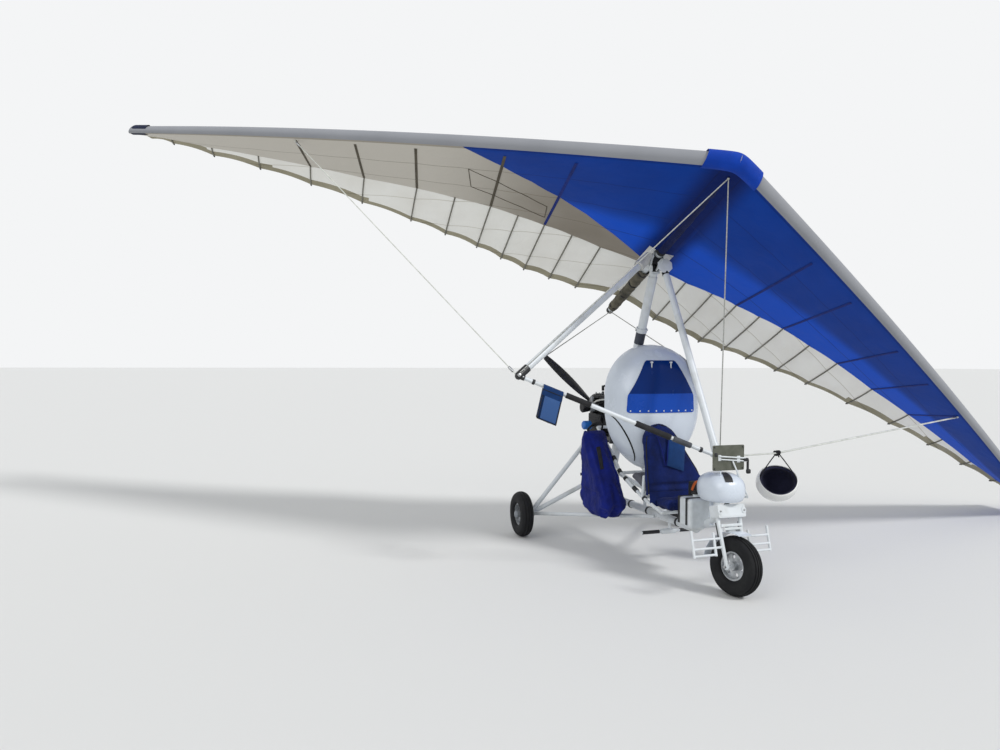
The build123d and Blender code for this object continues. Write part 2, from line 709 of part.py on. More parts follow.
def sail(side):
    """One half of the sail: a skin over the leading edge, closed by a rib at each end."""
    outs = [ROOT_X, *[s[0] for s in STATIONS[1:]]]
    body = loft([section(side * x) for x in outs], ruled=True)
    ribs = [120, *[s[0] for s in STATIONS[1:-1]], STATIONS[-1][0] - 8]
    body -= loft([hollow(side * x) for x in ribs], ruled=True)
    return WING * (body - hang_cut())


def keel_pocket():
    """Middle strip of the sail, sewn round the wing's keel."""
    body = loft([section(-ROOT_X), section(0), section(ROOT_X)], ruled=True)
    body -= rod((0, NOSE_Y - 200, WING_KEEL_Z), (0, KEEL_END_Y + 100, WING_KEEL_Z), WING_KEEL_R + 0.3)
    body -= rod((0, APEX_Y, 0), (0, APEX_Y, 600), 17)
    body -= Pos(0, APEX_Y, WING_KEEL_Z) * Rot(90, 0, 0) * Cylinder(APEX_RING_R + 0.3, 52)
    return WING * (body - hang_cut())


def wing_keel():
    """Tube down the middle of the wing."""
    return WING * rod((0, NOSE_Y + 10, WING_KEEL_Z), (0, KEEL_END_Y, WING_KEEL_Z), WING_KEEL_R)


def keel_cover():
    """Grey sleeve and end plug behind the hang bracket."""
    k = WING_KEEL_Z
    body = pipe((0, 190, k), (0, KEEL_END_Y - 60, k), 44, 44 - WING_KEEL_R - 0.2)
    zone = slab(-60, 60, 150, 1300, -100, k + WING_KEEL_R - 2)
    return WING * (body & zone)


def keel_plug():
    """Rubber plug in the keel's rear end."""
    k = WING_KEEL_Z
    return WING * (rod((0, KEEL_END_Y + 0.2, k), (0, KEEL_END_Y + 34, k), WING_KEEL_R + 6))


def on_bar(x):
    """Point on the base bar's centre line at a distance from its middle."""
    return (BAR_X + x, BAR_Y, BAR_Z)


def upright_ends(side):
    """Middle of an upright's head on the apex bolt, and of its foot on the base bar."""
    return (side * (PLATE_X + UPRIGHT_R + 12), APEX_Y, WING_KEEL_Z - HEAD_DROP), on_bar(side * HALF)


def apex_bracket():
    """Ring and two plates on the keel, with the bolt that takes the uprights' heads."""
    k = WING_KEEL_Z
    head = upright_ends(1)[0]
    body = Pos(0, APEX_Y, k) * Rot(90, 0, 0) * Cylinder(APEX_RING_R, 50)
    for s in (-1, 1):
        plate = Pos(s * (PLATE_X - 3), APEX_Y, k - 45) * Box(6, 62, 150)
        body += fillet(plate.edges().filter_by(Axis.X), 22)
    body += Pos(0, APEX_Y, head[2]) * Rot(0, 90, 0) * Cylinder(APEX_PIN_R, 2 * head[0] + 2 * UPRIGHT_R + 16)
    return WING * (body - rod((0, -400, k), (0, 400, k), WING_KEEL_R + 0.1))


def upright(side):
    """Round leg of the control frame, from the apex bolt to the bar's knuckle."""
    head, foot = upright_ends(side)
    body = rod(between(head, foot, -0.012), between(head, foot, 0.968), UPRIGHT_R)
    bore = Pos(*head) * Rot(0, 90, 0) * Cylinder(APEX_PIN_R + 0.3, 200)
    return WING * (body - bore)


def knuckle(side, grow=0.0):
    """Ball at the bar's end with its two sockets."""
    head, foot = upright_ends(side)
    body = Pos(*foot) * Sphere(CORNER_R + grow)
    body += rod(foot, between(foot, head, 0.06), UPRIGHT_R + 4 + grow)
    return body + rod(foot, on_bar(side * (HALF - 45)), BAR_R + 5 + grow)


def corner(side):
    """Knuckle that joins an upright to the base bar."""
    head, foot = upright_ends(side)
    body = knuckle(side)
    bar = rod(on_bar(-HALF), on_bar(HALF), BAR_R + 0.05)
    tube = rod(between(head, foot, 0), between(head, foot, 0.968), UPRIGHT_R + 0.05)
    return WING * (body - bar - tube)


# Foam and tape sleeves on the base bar: start, end, radius
GRIPS = [
    (-0.53 * HALF, -0.283 * HALF, 20),
    (0.167 * HALF, 0.521 * HALF, 21),
    (0.544 * HALF, 0.728 * HALF, 20),
    (HALF - 141, HALF - 121, 19),
    (103 - HALF, 122 - HALF, 19),
]
# Plain sleeve over the middle of the bar, from grip to grip
SLEEVE = (GRIPS[0][1] + 5, GRIPS[1][0] - 5)


def base_bar():
    """Bar between the knuckles, with a thicker sleeve over its middle."""
    body = rod(on_bar(2 - HALF), on_bar(HALF - 2), BAR_R)
    return WING * (body + rod(on_bar(SLEEVE[0]), on_bar(SLEEVE[1]), BAR_SLEEVE_R))


def grips():
    """Foam and tape sleeves on the bar."""
    body = []
    for a, b, r in GRIPS:
        body.append(WING * pipe(on_bar(a), on_bar(b), r, r - BAR_R - 0.1))
    return body


def bar_bag():
    """Small bag slung under the right end of the base bar: it hangs near the plumb line."""
    w, deep, top, low, swing, back = 75.0, 64.0, -BAR_R - SEAT, -250.0, 36.0, 22.0
    face = make_face(Polyline((-w, top), (w, top), (w + swing, low), (swing - w, low), (-w, top)))
    bag = extrude(Plane.XZ * face, deep / 2, both=True)
    bag = fillet(bag.edges(), 10)
    return WING * Pos(*on_bar(-0.655 * HALF)) * Rot(back, 0, 0) * bag


# Where the left rear wire bends over the fairing
DRAPE = [(222.0, 22.0, 1645.0), (240.0, -70.0, 1620.0), (244.5, -165.0, 1574.0), (224.5, -236.0, 1504.0)]


def lower_skin(x, back):
    """Point on the sail's lower surface at a distance out and back from the leading edge's middle, and its slope."""
    y_tail, share, camber = station(max(abs(x), ROOT_X))
    y0, z0, r = edge(abs(x))
    chord = y_tail - y0
    sag = MIDDLE_SAG * max(0.0, 1 - abs(x) / SAG_X) ** 1.5
    low = r * (1 - share) + camber * chord * 0.86 - SKIN - sag - 0.5
    slope = (tail_z(abs(x)) - z0) / chord + (low + r) / (share * chord)
    return y0 + back, z0 - r + back * slope, slope


def wire_ball(x, back):
    """Middle of a wire's end ball that hangs just under the sail."""
    y, z, slope = lower_skin(x, back)
    tilt = math.atan(slope)
    out = BALL_R + SEAT
    return (x, y + out * math.sin(tilt), z - out * math.cos(tilt))


def wire_foot(side, back, out=4.0, up=12.0):
    """Where a wire is shackled to a corner knuckle, before the knuckle is cut from it."""
    x, y, z = on_bar(side * (HALF + out))
    return (x, y + back, z + up)


def wires(side):
    """Lower side wire of one wing, from the knuckle to its ball under the leading edge."""
    end = wire_ball(side * CROSS_X, 40)
    wire = rod(wire_foot(side, 0, 16, 0), end, WIRE_R) - knuckle(side, SEAT)
    return WING * (wire + Pos(*end) * Sphere(BALL_R))


def front_wires():
    """From the ball under the nose to both corners."""
    nose = wire_ball(0, 90)
    body = Pos(*nose) * Sphere(BALL_R)
    for s in (-1, 1):
        body += rod(wire_foot(s, -20), nose, WIRE_R) - knuckle(s, SEAT)
    return WING * body


def rear_wires():
    """From the keel's end to both corners; the left one lies over the fairing's rim."""
    tail = (0, KEEL_END_Y - 25, WING_KEEL_Z - WING_KEEL_R - BALL_R - SEAT)
    body = WING * (Pos(*tail) * Sphere(BALL_R))
    for s in (-1, 1):
        bends = DRAPE if s > 0 else []
        ends = [tuple((WING * Pos(*p)).position) for p in (tail, wire_foot(s, 20))]
        points = [ends[0], *bends, ends[1]]
        for p, q in zip(points[:-2], points[1:-1]):
            body += rod(p, q, WIRE_R)
        body += rod(points[-2], points[-1], WIRE_R) - WING * knuckle(s, SEAT)
        for p in bends:
            body += Pos(*p) * Sphere(WIRE_R + 0.6)
    return body


def kingpost():
    """Mast over the wing that carries the upper rigging."""
    foot = WING_KEEL_Z + APEX_RING_R + 0.3
    top = foot + KINGPOST_H
    return WING * (rod((0, APEX_Y, foot), (0, APEX_Y, top), 15) + Pos(0, APEX_Y, top) * Sphere(22))


def nose_cap():
    """Cap over the front of both leading edges."""
    outs = [-CAP_X, -ROOT_X, 0, ROOT_X, CAP_X]
    shell = loft([section(x, CAP_WALL) for x in outs], ruled=True)
    shell -= loft([section(x, 1.0) for x in outs], ruled=True)
    slope = 1 / math.tan(math.radians(SWEEP))
    back = [(s * CAP_X * 1.2, NOSE_Y + CAP_X * 1.2 * slope + CAP_BACK) for s in (-1, 1)]
    face = make_face(
        Polyline(back[0], (0, NOSE_Y + CAP_BACK), back[1], (CAP_X * 1.2, NOSE_Y - 200), (-CAP_X * 1.2, NOSE_Y - 200), back[0])
    )
    zone = extrude(Pos(0, 0, -300) * face, 800)
    return WING * (shell & zone)


HELMET_R = 140.0
HELMET = (700.0, -730.0, 655.0)


def helmet():
    """Open-face helmet hung by its strap on the left side wire."""
    h = Sphere(HELMET_R) - Sphere(HELMET_R - 22) - Pos(0, -150, 20) * Box(260, 200, 200)
    h = Pos(*HELMET) * Rot(0, 0, 20) * h
    end = wire_ball(CROSS_X, 40)
    a, b = ((WING * Pos(*p)).position for p in (wire_foot(1, 0, 16, 0), end))
    share = (HELMET[0] - a.X) / (b.X - a.X)
    at = a + (b - a) * share
    loop = Plane(origin=at, z_dir=b - a) * (Cylinder(WIRE_R + 5, 20) - Cylinder(WIRE_R + SEAT, 30))
    strap = rod((at.X, at.Y, at.Z - WIRE_R - 3), (HELMET[0], HELMET[1], HELMET[2] + HELMET_R - 10), 4)
    return h + loop + strap


def save(name, shape):
    """Write one node in the row's frame."""
    solids = shape if isinstance(shape, (list, ShapeList)) else [shape]
    flat = []
    for s in solids:
        flat += list(s.solids())
    moved = [FRAME * s for s in flat]
    export_step(moved[0] if len(moved) == 1 else Compound(children=moved), f"parts/{name}.step")


def build():
    nodes = {
        "frame_keel": frame_keel(),
        "mast": mast(),
        "mast_head": mast_head(),
        "legs_right": legs(-1),
        "legs_left": legs(1),
        "engine_bearers": engine_bearers(),
        "engine_case": engine_case(),
        "engine_cylinders": engine_cylinders(),
        "reduction_drive": reduction_drive(),
        "exhaust": exhaust(),
        "propeller": propeller(),
        "seat_frame": seat_frame(),
        "front_seat": front_seat(),
        "rear_seat": rear_seat(),
        "fairing": fairing(),
        "fairing_window": fairing_window(),
        "pannier": pannier(),
        "tank": tank(),
        "pod": pod(),
        "screen": screen(),
        "peg_bar": peg_bar(),
        "fork": LEG * fork(),
        "mudguard": LEG * mudguard(),
        "footrests": [LEG * f for f in footrests()],
        "nose_tyre": LEG * tyre(),
        "nose_rim": LEG * rim(),
        "hang_block": hang_block(),
        "sail_right": sail(-1),
        "sail_left": sail(1),
        "keel_pocket": keel_pocket(),
        "wing_keel": wing_keel(),
        "keel_cover": keel_cover(),
        "keel_plug": keel_plug(),
        "apex_bracket": apex_bracket(),
        "upright_right": upright(-1),
        "upright_left": upright(1),
        "corner_right": corner(-1),
        "corner_left": corner(1),
        "base_bar": base_bar(),
        "grips": grips(),
        "bar_bag": bar_bag(),
        "side_wires_right": wires(-1),
        "side_wires_left": wires(1),
        "front_wires": front_wires(),
        "rear_wires": rear_wires(),
        "kingpost": kingpost(),
        "nose_cap": nose_cap(),
        "helmet": helmet(),
    }
    for side, tag in ((-1, "right"), (1, "left")):
        at = Location((side * TRACK / 2, AXLE_Y, WHEEL_R))
        nodes[f"tyre_{tag}"] = at * tyre()
        nodes[f"rim_{tag}"] = at * rim()
    return nodes


os.makedirs("parts", exist_ok=True)
NODES = build()
for NAME, SHAPE in NODES.items():
    save(NAME, SHAPE)
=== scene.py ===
"""Dresses a parked flex-wing microlight: cloth wing, moulded fairing, soft bags, engine, wheels and rigging."""

import json
import math

import bmesh
import bpy
from mathutils import Matrix, Vector


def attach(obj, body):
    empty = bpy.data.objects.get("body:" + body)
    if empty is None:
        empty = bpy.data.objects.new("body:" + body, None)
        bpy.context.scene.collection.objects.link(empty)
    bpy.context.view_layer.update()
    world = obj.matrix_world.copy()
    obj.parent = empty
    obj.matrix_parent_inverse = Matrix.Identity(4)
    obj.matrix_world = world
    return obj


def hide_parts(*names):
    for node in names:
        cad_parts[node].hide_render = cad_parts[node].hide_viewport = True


bl_info = {
    "name": "Flex-wing microlight",
    "version": (1, 0, 0),
    "blender": (4, 5, 0),
    "location": "View3D > Sidebar > Microlight",
    "description": "Builds the cloth, fittings and finishes of a parked flex-wing microlight",
    "category": "Add Mesh",
}

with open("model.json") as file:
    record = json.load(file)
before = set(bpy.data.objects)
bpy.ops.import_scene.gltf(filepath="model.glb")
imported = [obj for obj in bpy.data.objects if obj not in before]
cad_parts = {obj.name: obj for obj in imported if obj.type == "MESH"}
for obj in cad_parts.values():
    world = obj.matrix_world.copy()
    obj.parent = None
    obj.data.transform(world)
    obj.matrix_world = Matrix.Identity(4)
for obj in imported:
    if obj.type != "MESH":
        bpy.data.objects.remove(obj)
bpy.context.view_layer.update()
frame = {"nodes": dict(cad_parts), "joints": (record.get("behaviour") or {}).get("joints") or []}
JOINTS = {joint["name"]: joint for joint in frame["joints"]}

# Places shared by many pieces, in metres
AXLE_Y = 0.841
AXLE = Vector(JOINTS["main_wheel_left_spin"]["pos_m"])
AXLE_RIGHT = Vector(JOINTS["main_wheel_right_spin"]["pos_m"])
DATUM = Vector(((AXLE.x + AXLE_RIGHT.x) / 2, AXLE.y - AXLE_Y, 0))
HANG = Vector(JOINTS["wing_pitch"]["pos_m"])
NOSE_AXLE = Vector(JOINTS["nose_leg_steer"]["pos_m"])
PROP_HUB = Vector(JOINTS["propeller_spin"]["pos_m"])
WING_KEEL_Z = 0.075
BAR_X, BAR_Y, BAR_Z = 0.029, -0.360, -1.400
BAR_HALF = 0.760
CROSS_X = 3.100
WING_TURN = (-7.5, -16.8, 22.9)
LEG_TURN = (-15.0, 15.0)
PROP_TURN = 42.0


def turn(degrees, axis):
    return Matrix.Rotation(math.radians(degrees), 4, axis)


YAW, PITCH, ROLL = WING_TURN
HANG_YOKE = Matrix.Translation(HANG) @ turn(YAW, "Z")
BLOCK = HANG_YOKE @ turn(PITCH, "X")
TO_KEEL = Matrix.Translation((0, 0, WING_KEEL_Z))
WING = BLOCK @ TO_KEEL @ turn(ROLL, "Y") @ TO_KEEL.inverted()
TRIKE = Matrix.Translation(DATUM)
LEG = Matrix.Translation(NOSE_AXLE) @ turn(LEG_TURN[0], "X") @ turn(LEG_TURN[1], "Z")
PROP = Matrix.Translation(PROP_HUB) @ turn(PROP_TURN, "Y")
ON_TRIKE, ON_WING, ON_LEG = (TRIKE, "tricycle"), (WING, "wing"), (LEG, "nose_leg")


class SailSizes(bpy.types.PropertyGroup):
    sweep: bpy.props.FloatProperty(
        name="Sweep", description="Angle of each leading edge from the keel",
        default=math.radians(61.5), unit="ROTATION", subtype="ANGLE")
    edge_length: bpy.props.FloatProperty(
        name="Leading edge", description="Length of each leading edge tube", default=5.494, unit="LENGTH")
    edge_radius: bpy.props.FloatProperty(
        name="Edge radius", description="Radius of the sock round the leading edge", default=0.058, unit="LENGTH")
    billow: bpy.props.FloatProperty(
        name="Billow", description="Rise of the cloth between two battens", default=0.012, unit="LENGTH")
    blue: bpy.props.FloatVectorProperty(
        name="Blue", description="Blue of the lower cloth", subtype="COLOR", size=3, default=(0.0, 0.045, 0.333))


class CameraSizes(bpy.types.PropertyGroup):
    lens: bpy.props.FloatProperty(
        name="Lens", description="Focal length on a 36 mm wide film", default=26.51, unit="CAMERA")
    height: bpy.props.FloatProperty(
        name="Eye height", description="Camera's height over the ground", default=1.555, unit="LENGTH")


def linear(code):
    """Linear colour, with alpha, from an sRGB hex value."""
    parts = [int(code[k:k + 2], 16) / 255 for k in (1, 3, 5)]
    return [c / 12.92 if c <= 0.04045 else ((c + 0.055) / 1.055) ** 2.4 for c in parts] + [1.0]


def hex_code(color):
    """sRGB hex value of a linear colour."""
    parts = [12.92 * c if c <= 0.0031308 else 1.055 * c ** (1 / 2.4) - 0.055 for c in color]
    return "#" + "".join(f"{round(255 * min(1.0, c)):02x}" for c in parts)


# Materials

def add_node(tree, kind, links=None, **settings):
    """Adds a node with its settings; links maps an input to a value or to another node's output."""
    node = tree.nodes.new(kind)
    for key, value in settings.items():
        setattr(node, key, value)
    for key, value in (links or {}).items():
        if isinstance(value, bpy.types.NodeSocket):
            tree.links.new(value, node.inputs[key])
        else:
            node.inputs[key].default_value = value
    return node


def new_material(name, color, roughness, metallic=0.0, **extra):
    """A material with one principled shader, its constants set on the shader itself."""
    made = bpy.data.materials.new(name)
    made.use_nodes = True
    shader = made.node_tree.nodes["Principled BSDF"]
    shader.inputs["Base Color"].default_value = linear(color)
    shader.inputs["Roughness"].default_value = roughness
    shader.inputs["Metallic"].default_value = metallic
    for key, value in extra.items():
        shader.inputs[key.replace("_", " ")].default_value = value
    return made, made.node_tree, shader


def object_place(tree, scale=(1, 1, 1)):
    where = add_node(tree, "ShaderNodeTexCoord")
    moved = add_node(tree, "ShaderNodeMapping", {"Vector": where.outputs["Object"], "Scale": scale})
    return moved.outputs["Vector"]


def calc(tree, operation, a, b=0.0):
    return add_node(tree, "ShaderNodeMath", {0: a, 1: b}, operation=operation).outputs[0]


def noise(tree, scale, detail, place=None, **more):
    """Height of an even noise, its scale in patches a metre."""
    links = {"Vector": place or object_place(tree), "Scale": scale, "Detail": detail, **more}
    return add_node(tree, "ShaderNodeTexNoise", links).outputs["Fac"]


def patchy(tree, shader, base, other, size, share=0.5, contrast=(0.35, 0.65), place=None):
    """Colour that drifts between two tones over patches of a real size in metres."""
    ramp = add_node(tree, "ShaderNodeValToRGB", {"Fac": noise(tree, 1 / size, 6.0, place)})
    low, high = ramp.color_ramp.elements
    low.position, high.position = contrast
    a, b = linear(base), linear(other)
    low.color = a
    high.color = [p + (q - p) * share for p, q in zip(a, b)]
    tree.links.new(ramp.outputs["Color"], shader.inputs["Base Color"])
    return ramp


def bumpy(tree, shader, height, depth, strength=0.6):
    bump = add_node(tree, "ShaderNodeBump", {"Height": height, "Distance": depth, "Strength": strength})
    tree.links.new(bump.outputs["Normal"], shader.inputs["Normal"])


def worn_roughness(tree, shader, low, high, size):
    span = add_node(tree, "ShaderNodeMapRange", {"Value": noise(tree, 1 / size, 5.0), "To Min": low, "To Max": high})
    tree.links.new(span.outputs["Result"], shader.inputs["Roughness"])


def weave(tree, thread):
    """Height of a plain weave with a real thread spacing in metres."""
    place = object_place(tree)
    x, y, z = (add_node(tree, "ShaderNodeTexWave", {"Vector": place, "Scale": 0.5 / thread, "Distortion": 0.4},
                        bands_direction=axis).outputs["Fac"] for axis in "XYZ")
    return calc(tree, "ADD", calc(tree, "ADD", x, y), z)


def powder_coat(name, color, dirt):
    """Powder-coated aluminium tube: a fine orange peel, grime in patches and a soft gloss."""
    made, tree, shader = new_material(name, color, 0.36, IOR=1.5)
    patchy(tree, shader, color, dirt, 0.16, share=0.8, contrast=(0.5, 0.78))
    bumpy(tree, shader, noise(tree, 700.0, 2.0), 0.0002, 0.35)
    worn_roughness(tree, shader, 0.3, 0.5, 0.06)
    return made


def gelcoat(name, color, dirt, coat=0.25, gloss=0.5):
    """Gelcoat over moulded glass fibre, or acrylic sheet: glossy, faintly wavy, with dusty patches."""
    made, tree, shader = new_material(
        name, color, 0.22, IOR=1.5, Coat_Weight=coat, Coat_Roughness=0.12, Specular_IOR_Level=gloss)
    patchy(tree, shader, color, dirt, 0.35, share=0.6, contrast=(0.48, 0.8))
    bumpy(tree, shader, noise(tree, 9.0, 2.0), 0.004, 0.25)
    worn_roughness(tree, shader, 0.16, 0.34, 0.12)
    return made


def sewn_cloth(name, color, tone, thread, wrinkle, roughness=0.85, sheen=0.04):
    """Woven nylon or polyester: a plain weave, soft creases and uneven fading, with hardly any gloss."""
    made, tree, shader = new_material(
        name, color, roughness, Sheen_Weight=sheen, Sheen_Roughness=0.5, Specular_IOR_Level=0.2)
    patchy(tree, shader, color, tone, 0.11, share=0.9, contrast=(0.3, 0.7))
    crease = noise(tree, 1 / wrinkle, 4.0, object_place(tree, (1, 1, 0.45)), Distortion=0.7)
    bumpy(tree, shader, calc(tree, "ADD", crease, calc(tree, "MULTIPLY", weave(tree, thread), 0.035)), 0.010, 0.6)
    return made


def moulded(name, color, tone, roughness, grain=900.0):
    """Moulded plastic or foam with a fine pitted grain."""
    made, tree, shader = new_material(name, color, roughness, IOR=1.46)
    patchy(tree, shader, color, tone, 0.05, share=0.8)
    bumpy(tree, shader, noise(tree, grain, 3.0), 0.0004, 0.5)
    return made


def metal(name, color, tone, roughness, size=0.03):
    """Bare or plated metal, dulled in patches."""
    made, tree, shader = new_material(name, color, roughness, 1.0)
    patchy(tree, shader, color, tone, size, share=0.8)
    worn_roughness(tree, shader, roughness * 0.75, min(1.0, roughness * 1.4), 0.02)
    return made


def tyre_rubber():
    """Vulcanised rubber: near black, dry and dusty on the tread, with fine pitting."""
    made, tree, shader = new_material("vulcanised_rubber", "#101114", 0.78, IOR=1.52, Specular_IOR_Level=0.3)
    patchy(tree, shader, "#0e0f12", "#2a2b2b", 0.09, share=0.6, contrast=(0.45, 0.85))
    bumpy(tree, shader, noise(tree, 450.0, 4.0), 0.0006, 0.5)
    return made


def polycarbonate():
    """Smoked polycarbonate sheet, scuffed and half clear, its grey-green partly a painted reflection of dark ground."""
    # painted reflection: the grey-green stands partly for dark ground seen in the sheet
    made, tree, shader = new_material("smoked_polycarbonate", "#484b3e", 0.3, IOR=1.58, Alpha=0.92)
    patchy(tree, shader, "#484b3e", "#5d5f54", 0.05, share=0.8)
    worn_roughness(tree, shader, 0.2, 0.5, 0.03)
    return made


def cloth_map(tree, name):
    return add_node(tree, "ShaderNodeUVMap", uv_map=name).outputs["UV"]


# Spacing of the sail's sewn panels, in metres back, and the width of a seam as a share of it
PANEL, SEAM_SHARE = 0.36, 0.028


def sail_dacron(name, color, tone, seam, painted_glow=0.0, ends=()):
    """Woven sailcloth in its own panels: the cloth map holds metres out and metres back.

    Stitched seams along the span show as slightly darker lines. The lie map holds metres out and the share
    of the lower cloth's depth, and each of ends gives what changes along it: "rear" for the brighter strip
    ahead of the rear seam, painted light where light comes through one layer, "keel" for painted shade
    that darkens it inwards, towards the keel. A painted glow makes the cloth shine in its own colour,
    painted light for light that comes through one layer.
    """
    made, tree, shader = new_material(name, color, 0.62, Specular_IOR_Level=0.12)
    place = cloth_map(tree, "cloth")
    ramp = patchy(tree, shader, color, tone, 0.5, share=0.9, contrast=(0.3, 0.72), place=place)
    plain = ramp.outputs["Color"]
    # each end mixes in a tint: painted light for "rear", painted shade for "keel"
    for kind, tint, low, high in ends:
        lie = add_node(tree, "ShaderNodeSeparateXYZ", {"Vector": cloth_map(tree, "lie")})
        away = calc(tree, "ABSOLUTE", lie.outputs["Y" if kind == "rear" else "X"])
        grade = add_node(tree, "ShaderNodeMapRange", {"Value": away, "From Min": low, "From Max": high},
                         interpolation_type="SMOOTHSTEP")
        plain = add_node(tree, "ShaderNodeMix", {
            "Factor": grade.outputs["Result"], "A": plain, "B": linear(tint)}, data_type="RGBA").outputs["Result"]
    parts = add_node(tree, "ShaderNodeSeparateXYZ", {"Vector": place})
    # panels run along the span, one seam after each
    near = calc(tree, "LESS_THAN", calc(tree, "FRACT", calc(tree, "DIVIDE", parts.outputs["Y"], PANEL)), SEAM_SHARE)
    mixed = add_node(tree, "ShaderNodeMix", {
        "Factor": calc(tree, "MULTIPLY", near, 0.55), "A": plain, "B": linear(seam)}, data_type="RGBA")
    tree.links.new(mixed.outputs["Result"], shader.inputs["Base Color"])
    crease = noise(tree, 3.2, 5.0, place, Distortion=0.9)
    bumpy(tree, shader, calc(tree, "ADD", crease, calc(tree, "MULTIPLY", near, 0.06)), 0.02, 0.45)
    # painted light: the cloth shines in its own colour, standing in for light that comes through one layer
    if painted_glow:
        shader.inputs["Emission Color"].default_value = linear(color)
        shader.inputs["Emission Strength"].default_value = painted_glow
    return made


FINISH = {}


